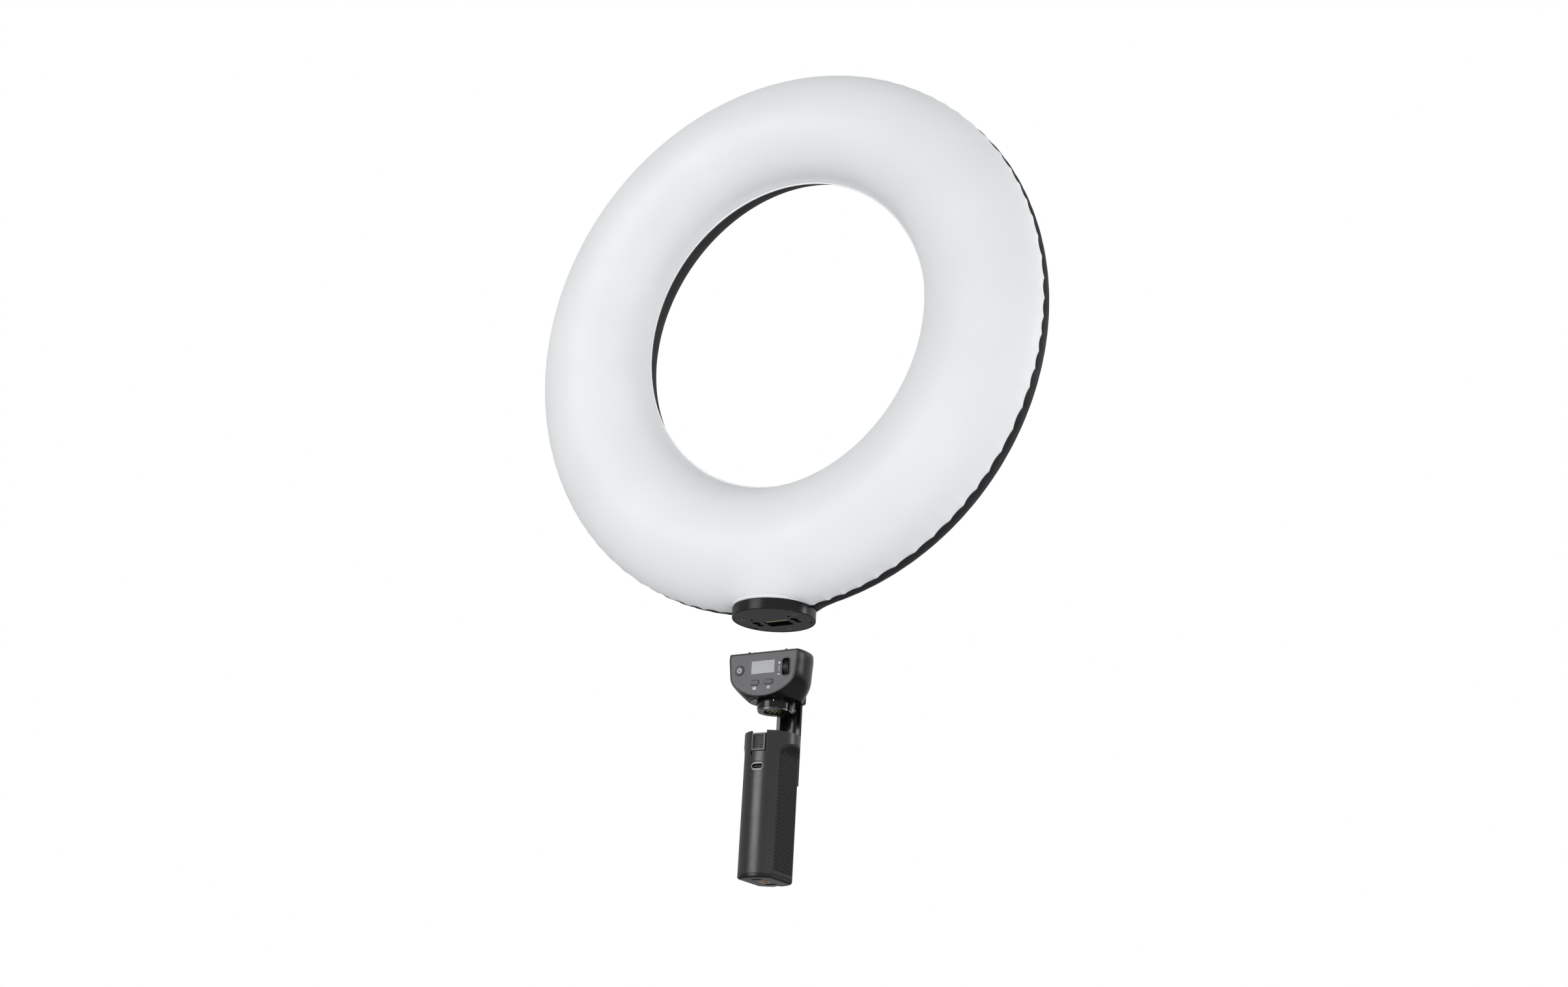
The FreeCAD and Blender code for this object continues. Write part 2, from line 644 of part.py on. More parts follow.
def tower_pins():
    y = RECESS_Y[0] + 2.4
    return group([rod(0.45, HEAD_TOP + 0.55, HEAD_TOP + 0.75, contact_x(index), y)
                  for index in range(CONTACT_COUNT)])


def bayonet_plug():
    """The plug's metal body: a sleeve up into the head and a flange with three notches at its foot."""
    face = PLUG_FACE
    sleeve = rod(PLUG_SLEEVE, face, HEAD_BASE)
    neck = rod(PLUG_NECK, HEAD_BASE, HEAD_BASE + 7.5)
    foot = rod(12.7, face, face + 1.6)
    notches = []
    for index in range(3):
        notch = block(11.6, 14, -1.6, 1.6, face - 1, face + 2)
        notch.rotate(V(0, 0, 0), Z_AXIS, 200 + 120.0 * index)
        notches.append(notch)
    body = sleeve.fuse([neck, foot]).cut(notches)
    socket = rod(PLUG_BORE, face - 1, face + LEDGE)
    passage = rod(6.5, face, HEAD_BASE + 9)
    return body.cut([socket, passage]).removeSplitter()


def locking_collar():
    collar = tube(PLUG_RADIUS, PLUG_SLEEVE + 0.05, PLUG_FACE + 1.7, HEAD_BASE - 0.1)
    mark = block(-0.5, 0.5, -PLUG_RADIUS - 1, -PLUG_RADIUS + 0.4, HEAD_BASE - 2.3, HEAD_BASE - 0.9)
    mark.rotate(V(0, 0, 0), Z_AXIS, 26)
    return collar.cut(mark)


def plug_insulator():
    """The block that holds the pins, seated on the ledge in the plug's bore."""
    disc = rod(PLUG_BORE - 0.1, PLUG_FACE + INSULATOR_FACE, PLUG_FACE + LEDGE)
    return disc.fuse(rod(6.4, PLUG_FACE + LEDGE, PLUG_FACE + LEDGE + 3)).removeSplitter()


def pin_places():
    """Where the pins stand: two rings round the middle."""
    places = []
    for count, radius in PIN_RINGS:
        for index in range(count):
            turn = 2 * math.pi * index / count
            places.append((radius * math.cos(turn), radius * math.sin(turn)))
    return places


def plug_pins():
    low = PLUG_FACE + PIN_END
    high = PLUG_FACE + INSULATOR_FACE
    return group([rod(0.5, low, high, x, y) for x, y in pin_places()])


def release_bar(grow, low, high):
    """An upright bar on the release key's rounded triangle, taken larger all round by grow."""
    corners = [V(x, y, low) for x, y in RELEASE_CORNERS + RELEASE_CORNERS[:1]]
    outline = Part.makePolygon(corners)
    if grow:
        outline = outline.makeOffset2D(grow, 2)
    bar = Part.Face(outline).extrude(V(0, 0, high - low))
    upright = [edge for edge in bar.Edges if edge.BoundBox.ZLength > (high - low) / 2.0]
    return bar.makeFillet(RELEASE_ROUND + grow, upright)


def release_button():
    """A rounded triangular key under the head, with a flange above the floor that keeps it in."""
    floor = HEAD_BASE + HEAD_FLOOR
    key = release_bar(0.0, HEAD_BASE - 1.2, floor + 0.2)
    flange = release_bar(0.8, floor + 0.1, floor + 0.9)
    return key.fuse(flange).removeSplitter()


def latch_hook():
    """The sprung metal hook beside the plug, which drops into the grip and turns on a cross pin."""
    tip = HEAD_BASE - 9.8
    top = HEAD_BASE + 4.4
    inner = SWING_X - 0.8
    outer = SWING_X + 0.8
    nib = SWING_X + 1.9
    outline = [V(inner, 0, tip), V(SWING_X, 0, tip), V(nib, 0, tip + 1.8), V(nib, 0, tip + 3.0),
               V(outer, 0, tip + 3.0), V(outer, 0, top), V(inner, 0, top), V(inner, 0, tip)]
    blade = Part.Face(Part.makePolygon(outline)).extrude(V(0, 3.0, 0))
    blade.translate(V(0, SWING_Y - 1.5, 0))
    return blade.cut(rod_y(0.53, -3, 8, SWING_X, SWING_PIVOT_Z))


def hook_pin():
    return rod_y(0.5, SWING_Y - 3.1, SWING_Y + 3.1, SWING_X, SWING_PIVOT_Z)


# Rail

def rail_profile(front, back, mouth, undercut, grow):
    """A slot-shaped outline: straight cheeks from the front, wider behind the lips, round at the back."""
    lip = RAIL_FRONT + RAIL_WALL - grow
    shoulder = RAIL_CORNER + grow
    right = [V(mouth, front, 0), V(mouth, lip, 0), V(undercut, lip, 0), V(undercut, shoulder, 0)]
    left = [V(-point.x, point.y, 0) for point in reversed(right)]
    edges = [Part.makeLine(a, b) for a, b in zip(right, right[1:]) if a.distanceToPoint(b) > 0.001]
    edges.append(Part.Arc(right[-1], V(0, back, 0), left[0]).toShape())
    edges += [Part.makeLine(a, b) for a, b in zip(left, left[1:]) if a.distanceToPoint(b) > 0.001]
    edges.append(Part.makeLine(left[-1], right[0]))
    return Part.Face(Part.Wire(edges))


def raised(face, bottom, top):
    bar = face.extrude(V(0, 0, top - bottom))
    bar.translate(V(0, 0, bottom))
    return bar


def rail_outside(bottom, top):
    return raised(rail_profile(RAIL_FRONT, RAIL_BACK, RAIL_HALF, RAIL_HALF, 0.0), bottom, top)


def rail():
    inner = rail_profile(RAIL_FRONT - 1, RAIL_BACK - RAIL_WALL, MOUTH_HALF, UNDERCUT_HALF, 0.0)
    channel = raised(inner, RAIL_BOTTOM - 1, RAIL_TOP + 1)
    return rail_outside(RAIL_BOTTOM, RAIL_TOP).cut([channel, bowl(0.0, HEAD_BASE, HEAD_TOP)])


def guide_bar(front, bottom, top):
    clear = RAIL_CLEAR
    back = RAIL_BACK - RAIL_WALL - clear
    face = rail_profile(front, back, MOUTH_HALF - clear, UNDERCUT_HALF - clear, -clear)
    return raised(face, bottom, top)


def rail_block():
    """The block that fills the top of the rail's channel and joins it to the head's back."""
    filler = guide_bar(RAIL_FRONT - 1, HEAD_BASE, HEAD_BASE + 16)
    bridge = block(-6.9, 6.9, 16.0, RAIL_FRONT, HEAD_BASE, HEAD_BASE + 12)
    return filler.fuse(bridge).cut(bowl(0.0, HEAD_BASE, HEAD_TOP)).removeSplitter()


def rail_bracket():
    """The saddle behind the head that clamps the rail to it."""
    low = HEAD_BASE + 2.8
    high = HEAD_BASE + 29.1
    saddle = raised(rail_profile(BRACKET_FRONT, BRACKET_BACK, BRACKET_HALF, BRACKET_HALF, 2.0), low, high)
    ends = [edge for edge in saddle.Edges
            if edge.BoundBox.ZLength < 0.1 and edge.BoundBox.YMax > BRACKET_BACK - 0.1]
    saddle = saddle.makeFillet(2.0, ends)
    space = rail_outside(low - 10, high + 10)
    opening = block(-RAIL_HALF, RAIL_HALF, 10, RAIL_FRONT + 0.5, low - 10, high + 10)
    holes = [rod_y(1.1, 20, 40, 0, z) for z in BRACKET_SCREWS]
    return saddle.cut([space, opening, bowl(0.0, HEAD_BASE, HEAD_TOP)] + holes)


def bracket_screws():
    screws = []
    for z in BRACKET_SCREWS:
        head = rod_y(2.0, BRACKET_BACK, BRACKET_BACK + 1.2, 0, z)
        slot = block(-1.4, 1.4, BRACKET_BACK + 0.8, BRACKET_BACK + 2, z - 0.25, z + 0.25)
        shank = rod_y(1.05, RAIL_BACK, BRACKET_BACK, 0, z)
        screws.append(head.cut(slot).fuse(shank).removeSplitter())
    return group(screws)


# Grip

def side_cut(side, depth=0.0):
    """The flat let into one side of the grip, ending above in a round scoop, taken deeper by depth."""
    flat = block(FLAT_X - depth, 40, -30, 30, -1, FLAT_TOP)
    scoop = rod_y(SCOOP_RADIUS + depth, -30, 30, FLAT_X + SCOOP_RADIUS, FLAT_TOP)
    tool = flat.fuse(scoop)
    return tool if side > 0 else tool.mirror(V(0, 0, 0), X_AXIS)


def grip_form(radius, low, high):
    form = rod(radius, low, high)
    return form.cut([side_cut(1), side_cut(-1)])


def grip_inside(low, high):
    inner = rod(GRIP_RADIUS - GRIP_WALL, low, high)
    return inner.cut([side_cut(1, GRIP_WALL), side_cut(-1, GRIP_WALL)])


def grip_shell():
    body = grip_form(GRIP_RADIUS, BOTTOM_PLATE, GRIP_HEIGHT)
    hollow = grip_inside(BOTTOM_PLATE - 1, GRIP_HEIGHT + 1)
    half = WINDOW_WIDTH / 2.0
    latch_window = block(-half, half, -30, -15, WINDOW_BOTTOM, GRIP_HEIGHT + 1)
    latch_slot = block(-half, SLOT_WIDTH - half, -30, -15, SLOT_BOTTOM, WINDOW_BOTTOM + 1)
    usb_recess = pill_y(USB_RECESS[0], USB_RECESS[1], -30, USB_FLOOR_Y, 0, USB_HEIGHT)
    usb_hole = pill_y(USB_SHELL[0] + 0.2, USB_SHELL[1] + 0.2, -30, -10, 0, USB_HEIGHT)
    holes = [rod_y(1.1, 15, 30, 0, z) for z in GUIDE_SCREWS]
    shelf = block(-6, 6, -19.5, -13.6, LATCH_BOTTOM - 6.4, LATCH_BOTTOM - 5.2)
    shelf = shelf.common(rod(GRIP_RADIUS - GRIP_WALL + 0.3, 80, 100))
    body = body.cut([hollow, latch_window, latch_slot, usb_recess, usb_hole] + holes)
    return body.fuse(shelf).removeSplitter()


def grip_pad(side):
    """A rubber lining of the side recess, flat below and following the scoop above, with slanting ribs."""
    edge = rod(PAD_EDGE_RADIUS, PAD_BOTTOM, FLAT_TOP + SCOOP_RADIUS)
    sheet = edge.common(side_cut(1)).cut(side_cut(1, -PAD_THICKNESS))
    field = rod(PAD_EDGE_RADIUS - 0.4, RIB_BOTTOM, RIB_TOP)
    layer = field.common(side_cut(1, -PAD_THICKNESS / 2.0)).cut(side_cut(1, -PAD_THICKNESS - RIB_HEIGHT))
    step = RIB_PITCH / math.sin(math.radians(RIB_ANGLE))
    count = int((RIB_TOP - RIB_BOTTOM + 40.0) / step)
    bars = []
    for index in range(count):
        bar = block(FLAT_X, GRIP_RADIUS, -60, 60, -RIB_WIDTH / 2, RIB_WIDTH / 2)
        bar.rotate(V(0, 0, 0), X_AXIS, RIB_ANGLE - 90.0)
        bar.translate(V(0, 0, RIB_BOTTOM - 18.0 + index * step))
        bars.append(bar)
    ribs = layer.common(group(bars))
    pad = sheet.fuse(ribs.Solids).removeSplitter()
    return pad if side > 0 else pad.mirror(V(0, 0, 0), X_AXIS)


def bottom_plate():
    body = grip_form(GRIP_RADIUS, 0, BOTTOM_PLATE)
    under = [edge for edge in body.Edges if edge.BoundBox.ZMax < 0.01]
    body = body.makeChamfer(GRIP_BEVEL, under)
    half = POCKET_LONG / 2.0
    recesses = [block(-POCKET_HALF, POCKET_HALF, y - half, y + half, -1, POCKET_DEPTH) for y in BOTTOM_SCREWS]
    seat = rod(INSERT_NOSE + 0.05, -1, 20)
    notch = block(-NOTCH_HALF, NOTCH_HALF, 18.0, 30, -1, 2.2)
    holes = [rod(1.15, -1, 20, 0, y) for y in BOTTOM_SCREWS]
    return body.cut(recesses + [seat, notch] + holes)


def bottom_screws():
    screws = []
    for y in BOTTOM_SCREWS:
        head = rod(1.9, POCKET_DEPTH - 0.8, POCKET_DEPTH, 0, y)
        slot = block(-1.2, 1.2, y - 0.25, y + 0.25, 0.5, 1.1)
        screws.append(head.fuse(rod(1.1, POCKET_DEPTH, 7.0, 0, y)).cut(slot).removeSplitter())
    return group(screws)


def tripod_insert():
    """A brass sleeve with a flange above the bottom plate, closed at its inner end."""
    sleeve = rod(INSERT_NOSE, 0, THREAD_DEPTH + 1.0)
    flange = rod(INSERT_FLANGE, BOTTOM_PLATE + 0.1, BOTTOM_PLATE + 1.6)
    return sleeve.fuse(flange).cut(rod(THREAD_RADIUS, -1, THREAD_DEPTH)).removeSplitter()


def grip_top_deck():
    """The block in the grip's mouth: the socket for the plug, and pockets for the hook and the key."""
    high = GRIP_HEIGHT - DECK_RECESS
    deck = grip_inside(DECK_BOTTOM, high)
    socket = rod(SOCKET_RADIUS, SOCKET_FLOOR, high + 1)
    wire_hole = rod(5.5, DECK_BOTTOM - 1, high)
    hook_pocket = block(SWING_X - 1.15, SWING_X + 2.9, SWING_Y - 1.9, SWING_Y + 1.9,
                        DECK_BOTTOM - 1, high + 1)
    key_pocket = release_bar(0.5, high - 2.0, high + 1)
    latch_space = block(-8.6, 8.6, -30, -15.1, DECK_BOTTOM - 1, high + 1)
    screw_space = rod_y(2.4, 15, 30, 0, GUIDE_SCREWS[1])
    return deck.cut([socket, wire_hole, hook_pocket, key_pocket, latch_space, screw_space]).removeSplitter()


def socket_post():
    disc = rod(7.85, SOCKET_FLOOR, POST_TOP)
    return disc.fuse(rod(5.4, DECK_BOTTOM, SOCKET_FLOOR)).removeSplitter()


def socket_contacts():
    return group([rod(0.8, POST_TOP, POST_TOP + 0.25, x, y) for x, y in pin_places()])


def slide_latch():
    """The ribbed slider in the front window, curved like the grip."""
    half = LATCH_WIDTH / 2.0
    field_bottom = LATCH_BOTTOM + LATCH_FRAME
    field_top = LATCH_TOP - LATCH_FRAME
    field_half = half - LATCH_FRAME
    cover = tube(GRIP_RADIUS + 0.5, GRIP_RADIUS - 1.6, LATCH_BOTTOM, LATCH_TOP)
    cover = cover.common(block(-half, half, -30, -10, LATCH_BOTTOM, LATCH_TOP))
    field = tube(GRIP_RADIUS + 2, GRIP_RADIUS - 0.5, field_bottom, field_top)
    cover = cover.cut(field.common(block(-field_half, field_half, -30, -10, field_bottom - 2, field_top + 2)))
    pitch = (field_top - field_bottom) / LATCH_RIBS
    parts = []
    for index in range(LATCH_RIBS):
        z = field_bottom + (index + 0.25) * pitch
        rib = tube(GRIP_RADIUS + 0.1, GRIP_RADIUS - 0.8, z, z + pitch / 2.0)
        parts.append(rib.common(block(-field_half - 0.2, field_half + 0.2, -30, -10, z - 1, z + 2)))
    parts.append(block(-8.0, 8.0, -16.6, -15.6, LATCH_BOTTOM + 1, LATCH_TOP - 3.4))
    parts.append(block(-3.0, 3.0, -20.0, -16.0, LATCH_BOTTOM + 3, LATCH_TOP - 5.5))
    parts.append(rod(1.0, LATCH_BOTTOM - 0.6, LATCH_BOTTOM + 1.2, 0, SPRING_Y))
    return cover.fuse(parts).removeSplitter()


def latch_spring():
    return tube(1.9, 1.3, LATCH_BOTTOM - 5.2, LATCH_BOTTOM + 1.0, 0, SPRING_Y)


def rail_guide():
    """The T-shaped guide on the grip's back that the rail slides over."""
    bar = guide_bar(18.0, GUIDE_BOTTOM, GUIDE_TOP)
    holes = [rod_y(1.05, 15, 26.0, 0, z) for z in GUIDE_SCREWS]
    return bar.cut([rod(GRIP_RADIUS, 30, 120)] + holes).removeSplitter()


def guide_screws():
    screws = []
    for z in GUIDE_SCREWS:
        head = rod_y(2.0, 17.6, 19.0, 0, z)
        screws.append(head.fuse(rod_y(1.0, 19.0, 25.5, 0, z)).removeSplitter())
    return group(screws)


def battery_cells():
    cells = []
    for y in (-CELL_RADIUS - 0.15, CELL_RADIUS + 0.15):
        can = rod(CELL_RADIUS, CELL_BOTTOM, CELL_BOTTOM + CELL_LENGTH, 0, y)
        button = rod(2.8, CELL_BOTTOM + CELL_LENGTH, CELL_BOTTOM + CELL_LENGTH + 1.2, 0, y)
        cells.append(can.fuse(button).removeSplitter())
    return group(cells)


def charge_board():
    return block(-9.0, 9.0, -13.6, -12.0, USB_HEIGHT - 4.5, USB_HEIGHT + 5.0)


def usb_shell():
    """The inlet's metal shell, with an oval flange that lies in the recess of the grip."""
    sleeve = pill_y(USB_SHELL[0], USB_SHELL[1], USB_FLOOR_Y, USB_BACK_Y, 0, USB_HEIGHT)
    flange = pill_y(USB_FLANGE[0], USB_FLANGE[1], USB_FLOOR_Y - 0.4, USB_FLOOR_Y, 0, USB_HEIGHT)
    mouth = pill_y(USB_MOUTH[0], USB_MOUTH[1], USB_FLOOR_Y - 1, USB_BACK_Y - 0.6, 0, USB_HEIGHT)
    return sleeve.fuse(flange).cut(mouth).removeSplitter()


def usb_tongue():
    return block(-3.3, 3.3, USB_FLOOR_Y + 0.3, USB_BACK_Y - 0.6, USB_HEIGHT - 0.35, USB_HEIGHT + 0.35)


PIECES = {
    "front_diffuser": lambda: ring_skin(-FRONT_BULGE),
    "back_skin": lambda: ring_skin(BACK_BULGE),
    "inner_seam": seam_band,
    "led_strip": led_strip,
    "led_chips": led_chips,
    "air_valve": air_valve,
    "valve_cap": valve_cap,
    "front_cuff": lambda: cuff(True),
    "back_cuff": lambda: cuff(False),
    "base_shell": base_shell,
    "base_plate": base_plate,
    "base_screws": base_screws,
    "contact_block": contact_block,
    "base_contacts": base_contacts,
    "lock_plate": lock_plate,
    "head_shell": head_shell,
    "fascia": fascia,
    "screen_window": screen_window,
    "lcd_module": lcd_module,
    "control_board": control_board,
    "power_button": power_button,
    "left_key": lambda: pill_button(MENU_AT),
    "right_key": lambda: pill_button(MODE_AT),
    "wheel_bezel": wheel_bezel,
    "thumb_wheel": thumb_wheel,
    "wheel_axle": wheel_axle,
    "wheel_fork": wheel_fork,
    "head_top_plate": head_top_plate,
    "mount_studs": mount_studs,
    "lock_hooks": lock_hooks,
    "contact_tower": contact_tower,
    "tower_pins": tower_pins,
    "bayonet_plug": bayonet_plug,
    "locking_collar": locking_collar,
    "plug_insulator": plug_insulator,
    "plug_pins": plug_pins,
    "release_button": release_button,
    "latch_hook": latch_hook,
    "hook_pin": hook_pin,
    "rail": rail,
    "rail_block": rail_block,
    "rail_bracket": rail_bracket,
    "bracket_screws": bracket_screws,
    "grip_shell": grip_shell,
    "left_pad": lambda: grip_pad(-1),
    "right_pad": lambda: grip_pad(1),
    "bottom_plate": bottom_plate,
    "bottom_screws": bottom_screws,
    "tripod_insert": tripod_insert,
    "grip_top_deck": grip_top_deck,
    "socket_post": socket_post,
    "socket_contacts": socket_contacts,
    "slide_latch": slide_latch,
    "latch_spring": latch_spring,
    "rail_guide": rail_guide,
    "guide_screws": guide_screws,
    "battery_cells": battery_cells,
    "charge_board": charge_board,
    "usb_shell": usb_shell,
    "usb_tongue": usb_tongue,
}

os.makedirs("parts", exist_ok=True)
for name, make in PIECES.items():
    shape = make()
    shape.exportStep("parts/" + name + ".step")
    facts = (name, len(shape.Solids), shape.Volume, shape.isValid())
    print("%-16s solids %3d  volume %9.1f  valid %s" % facts)
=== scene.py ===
import json
import math

import bmesh
import bpy
import numpy as np
from mathutils import Matrix, Vector


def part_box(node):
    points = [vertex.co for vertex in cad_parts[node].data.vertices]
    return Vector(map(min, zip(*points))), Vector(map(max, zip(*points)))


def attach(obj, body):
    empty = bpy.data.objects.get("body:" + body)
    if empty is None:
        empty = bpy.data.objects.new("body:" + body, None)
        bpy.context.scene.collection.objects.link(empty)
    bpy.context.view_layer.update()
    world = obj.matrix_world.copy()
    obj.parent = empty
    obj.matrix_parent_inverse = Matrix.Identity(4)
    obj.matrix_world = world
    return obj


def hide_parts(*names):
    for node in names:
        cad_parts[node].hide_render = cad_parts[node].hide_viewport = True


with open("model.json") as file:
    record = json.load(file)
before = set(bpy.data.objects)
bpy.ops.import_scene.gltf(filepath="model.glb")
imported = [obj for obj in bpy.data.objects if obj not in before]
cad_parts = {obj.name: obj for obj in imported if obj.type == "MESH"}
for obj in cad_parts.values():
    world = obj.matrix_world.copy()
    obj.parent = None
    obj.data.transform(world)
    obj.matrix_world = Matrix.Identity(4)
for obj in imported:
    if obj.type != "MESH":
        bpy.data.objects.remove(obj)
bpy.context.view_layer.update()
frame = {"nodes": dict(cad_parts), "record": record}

# Lengths are in metres, +Z is up and -Y is the front

# The ring's own frame: its middle, and how far its top leans forward
RING_CENTRE = Vector((0.0, -0.0182, 0.4281))
RING_LEAN = math.radians(2.5)

# The tube, whose hole stands a little high in it and is a little taller than wide
RING_RADIUS = 0.2250
HOLE_RADIUS = 0.1294
HOLE_RISE = 0.0058
HOLE_OVAL = 0.0012
FRONT_BULGE = 0.0437
BACK_BULGE = 0.0452
CLOTH_THICKNESS = 0.0005

# The power that the sine and cosine of the tube's section are raised to, where 1 is an ellipse
ROUNDNESS = 2.0 / 1.88

# Points round the ring and across its section, and how closely those crowd towards the welds
ROUND_STEPS = 1056
SECTION_STEPS = 44
SECTION_CROWDING = 0.09

# The two welds. A reach is an angle in the section, from 0 at the outer weld to pi at the inner weld.
SEAM_RADIUS = 0.2238
SEAM_REACH = 0.07
INNER_SEAM_STEP = 0.0018
INNER_SEAM_REACH = 0.10

# The bead on the inner weld, whose colour is set lighter than the cloth as a painted highlight along the
# hole's edge
WELT_RADIUS = 0.0007
WELT_INSET = 0.0002
WELT_FORWARD = 0.0003
WELT_STEPS = 360
WELT_SIDES = 8

# The outer weld, drawn into scallops by the pressure: their depths differ, from a least share over a spread
SCALLOPS = 88
SCALLOP_DEPTH = 0.0025
SCALLOP_LEAST = 0.75
SCALLOP_SPREAD = 0.5
SCALLOP_SEED = 4
SCALLOP_BASE = 0.0014
SCALLOP_REACH = 0.38

# How the scallops' places wander: by what share of a scallop, in how many waves round the ring, from where
SCALLOP_WANDERS = ((0.22, 5, 0.7), (0.16, 11, 2.1))

# Pleats beside the outer weld: where they start and fade, their depth, and the hump that counts as none
PLEAT_START = 0.05
PLEAT_FADE = 0.16
FRONT_PLEAT = 0.0018
FRONT_PLEAT_LEVEL = 0.35
BACK_PLEAT = 0.0010
BACK_PLEAT_LEVEL = 0.5

# Base disc
DISC_CENTRE = Vector((0.0, -0.0084))
DISC_RADIUS = 0.0322
DISC_TOP = 0.2064

# The skirt of cloth that is drawn down to the disc: its height and width, where it starts and how it falls
SKIRT_HEIGHT = 0.045
SKIRT_REACH = 0.021
SKIRT_TUCK = 0.0012
SKIRT_FALL = 2.4
SKIRT_GAP = 0.0002
SKIRT_RISE = 0.002

# The hems on the disc: name, first and last angle in degrees from +X towards +Y, and slot
HEMS = (("front_hem", 181, 359, "cloth_white"), ("back_hem", -1, 181, "cloth_black"))
HEM_REACH = 0.0311
HEM_RADIUS = 0.0016
HEM_STEPS = 90
HEM_SIDES = 12

INK_THICKNESS = 0.00006
ARC_STEPS = 28

# Ink on the power key: an open ring, with an upright bar in its gap
POWER_RADIUS = 0.00145
POWER_LINE = 0.00052
POWER_ARC = (120, 420)
POWER_BAR_RISE = 0.0012
POWER_BAR_HEIGHT = 0.0019

# Ink beside the wheel: a plus, a fine line and a minus, with heights from the wheel's middle
SIGN_OFFSET = -0.0059
SIGN_LENGTH = 0.0019
SIGN_LINE = 0.00055
PLUS_RISE = 0.0034
MINUS_RISE = -0.0054
SCALE_RISE = -0.001
SCALE_LINE = 0.0003
SCALE_LENGTH = 0.0042
PLUS_POST_THICKNESS = INK_THICKNESS * 0.9

# Ink under the two pill keys: three bars on the left, a small ring on the right
KEY_BARS = 3
KEY_BAR_DROP = 0.0034
KEY_BAR_PITCH = 0.0008
KEY_BAR_LENGTH = 0.003
KEY_LINE = 0.0004
KEY_RING_DROP = 0.0042
KEY_RING_RADIUS = 0.0009
KEY_RING_ARC = (0, 359.9)

# The index mark on the collar: its place round the plug in degrees, its height, radius and size
COLLAR_MARK_TURN = 26.0
COLLAR_MARK_Z = 0.1343
COLLAR_MARK_RADIUS = 0.0128
COLLAR_MARK_WIDTH = 0.0006
COLLAR_MARK_HEIGHT = 0.0011
COLLAR_MARK_THICKNESS = 0.0001

# The photographed view: angles in degrees, lens and sensor in millimetres
CAMERA_TURN = 30.78
CAMERA_TILT = -19.77
CAMERA_ROLL = 3.27
CAMERA_DISTANCE = 1.669
CAMERA_LENS = 48.08
CAMERA_SENSOR = 36.0
RING_LEFT_OF_AXIS = 0.0003
RING_OVER_AXIS = 0.1225

# Lamps: name, direction and distance from the target, target, width and height, watts
LAMPS = (
    ("key", (-0.37, -0.86, 0.19), 1.8, (0, 0, 0.12), (0.95, 0.34), 15),
    ("right", (0.98, -0.2, -0.2), 1.7, (0, 0, 0.15), (0.42, 0.55), 5.5),
    ("edge", (0.87, 0.5, 0.25), 1.7, (0, 0, 0.15), (0.35, 0.5), 6),
    ("front", (0.65, -0.7, -0.45), 1.9, (0, 0, 0.35), (1.6, 1.6), 8),
    ("above", (0.3, -0.1, 0.95), 2.0, (0, 0, 0.35), (1.0, 1.0), 5),
    ("back", (0.5, 0.85, 0.5), 2.0, (0, 0, 0.35), (1.0, 1.0), 4),
)

# The soft light from all round, and its strength from the left and from the right
WORLD_COLOUR = (0.95, 0.98, 1.0)
WORLD_LEFT = 0.26
WORLD_RIGHT = 0.54

FLOOR_HEIGHT = -1.3
FLOOR_REACH = 12.0
FLOOR_SIDES = 96

# The range that nearly all values of a noise texture lie in
NOISE_LOW = 0.3
NOISE_HIGH = 0.7

# The numbers of a colour mix node's sockets
MIX_FACTOR = 0
MIX_FIRST = 6
MIX_SECOND = 7
MIX_RESULT = 2

BLACK = (0.006, 0.006, 0.007)

CLOTHS = {
    "cloth_white": dict(colour=(0.80, 0.81, 0.815), cool=(0.77, 0.782, 0.788), rough=0.5, gloss=0.3,
                        weave_depth=0.00002),
    "cloth_black": dict(colour=(0.026, 0.026, 0.028), cool=(0.02, 0.02, 0.022), rough=0.5, gloss=0.06,
                        weave_depth=0.00004),
    # The inner weld's bead: a colour lighter than the white cloth, as a painted highlight along the hole's
    # edge
    "seam": dict(colour=(0.88, 0.88, 0.885), cool=(0.84, 0.84, 0.85), rough=0.4, gloss=0.4,
                 weave_depth=0.00001),
}

MOULDINGS = {
    "strip": dict(colour=(0.8, 0.79, 0.72), rough=0.5),
    "led": dict(colour=(0.9, 0.75, 0.3), rough=0.25),
    "valve": dict(colour=(0.03, 0.03, 0.031), rough=0.45),
    "black_plastic": dict(colour=BLACK, rough=0.26, grain_depth=0.00001, gloss=0.22),
    "grip_plastic": dict(colour=BLACK, rough=0.33, grain_depth=0.000008, edge=0.0007, gloss=0.42),
    "black_gloss": dict(colour=(0.004, 0.004, 0.005), rough=0.24, gloss=0.22),
    "fascia_grey": dict(colour=(0.08, 0.08, 0.087), rough=0.42, grain=5200.0, grain_depth=0.00001,
                        edge=0.0001),
    "key_grey": dict(colour=(0.075, 0.075, 0.083), rough=0.45),
    "release_grey": dict(colour=(0.2, 0.2, 0.21), rough=0.42),
    "screen": dict(colour=(0.245, 0.252, 0.272), rough=0.22, grain=900.0, grain_depth=0.000002,
                   edge=0.00005),
    "board": dict(colour=(0.015, 0.1, 0.05), rough=0.4),
    "black_metal": dict(colour=BLACK, rough=0.18, grain=2600.0, grain_depth=0.000008, edge=0.0002,
                        coat=0.03, gloss=0.16),
    "rubber": dict(colour=(0.01, 0.01, 0.011), rough=0.42, grain=1800.0, edge=0.00012, gloss=0.3),
    "cell_wrap": dict(colour=(0.08, 0.2, 0.42), rough=0.3),
}

METALS = {
    "steel": dict(colour=(0.62, 0.62, 0.63), rough=0.3),
    "dark_steel": dict(colour=(0.045, 0.045, 0.048), rough=0.28),
    "plug_metal": dict(colour=(0.06, 0.06, 0.063), rough=0.32),
    "gold": dict(colour=(0.83, 0.67, 0.34), rough=0.25),
    "brass": dict(colour=(0.72, 0.48, 0.22), rough=0.3),
}

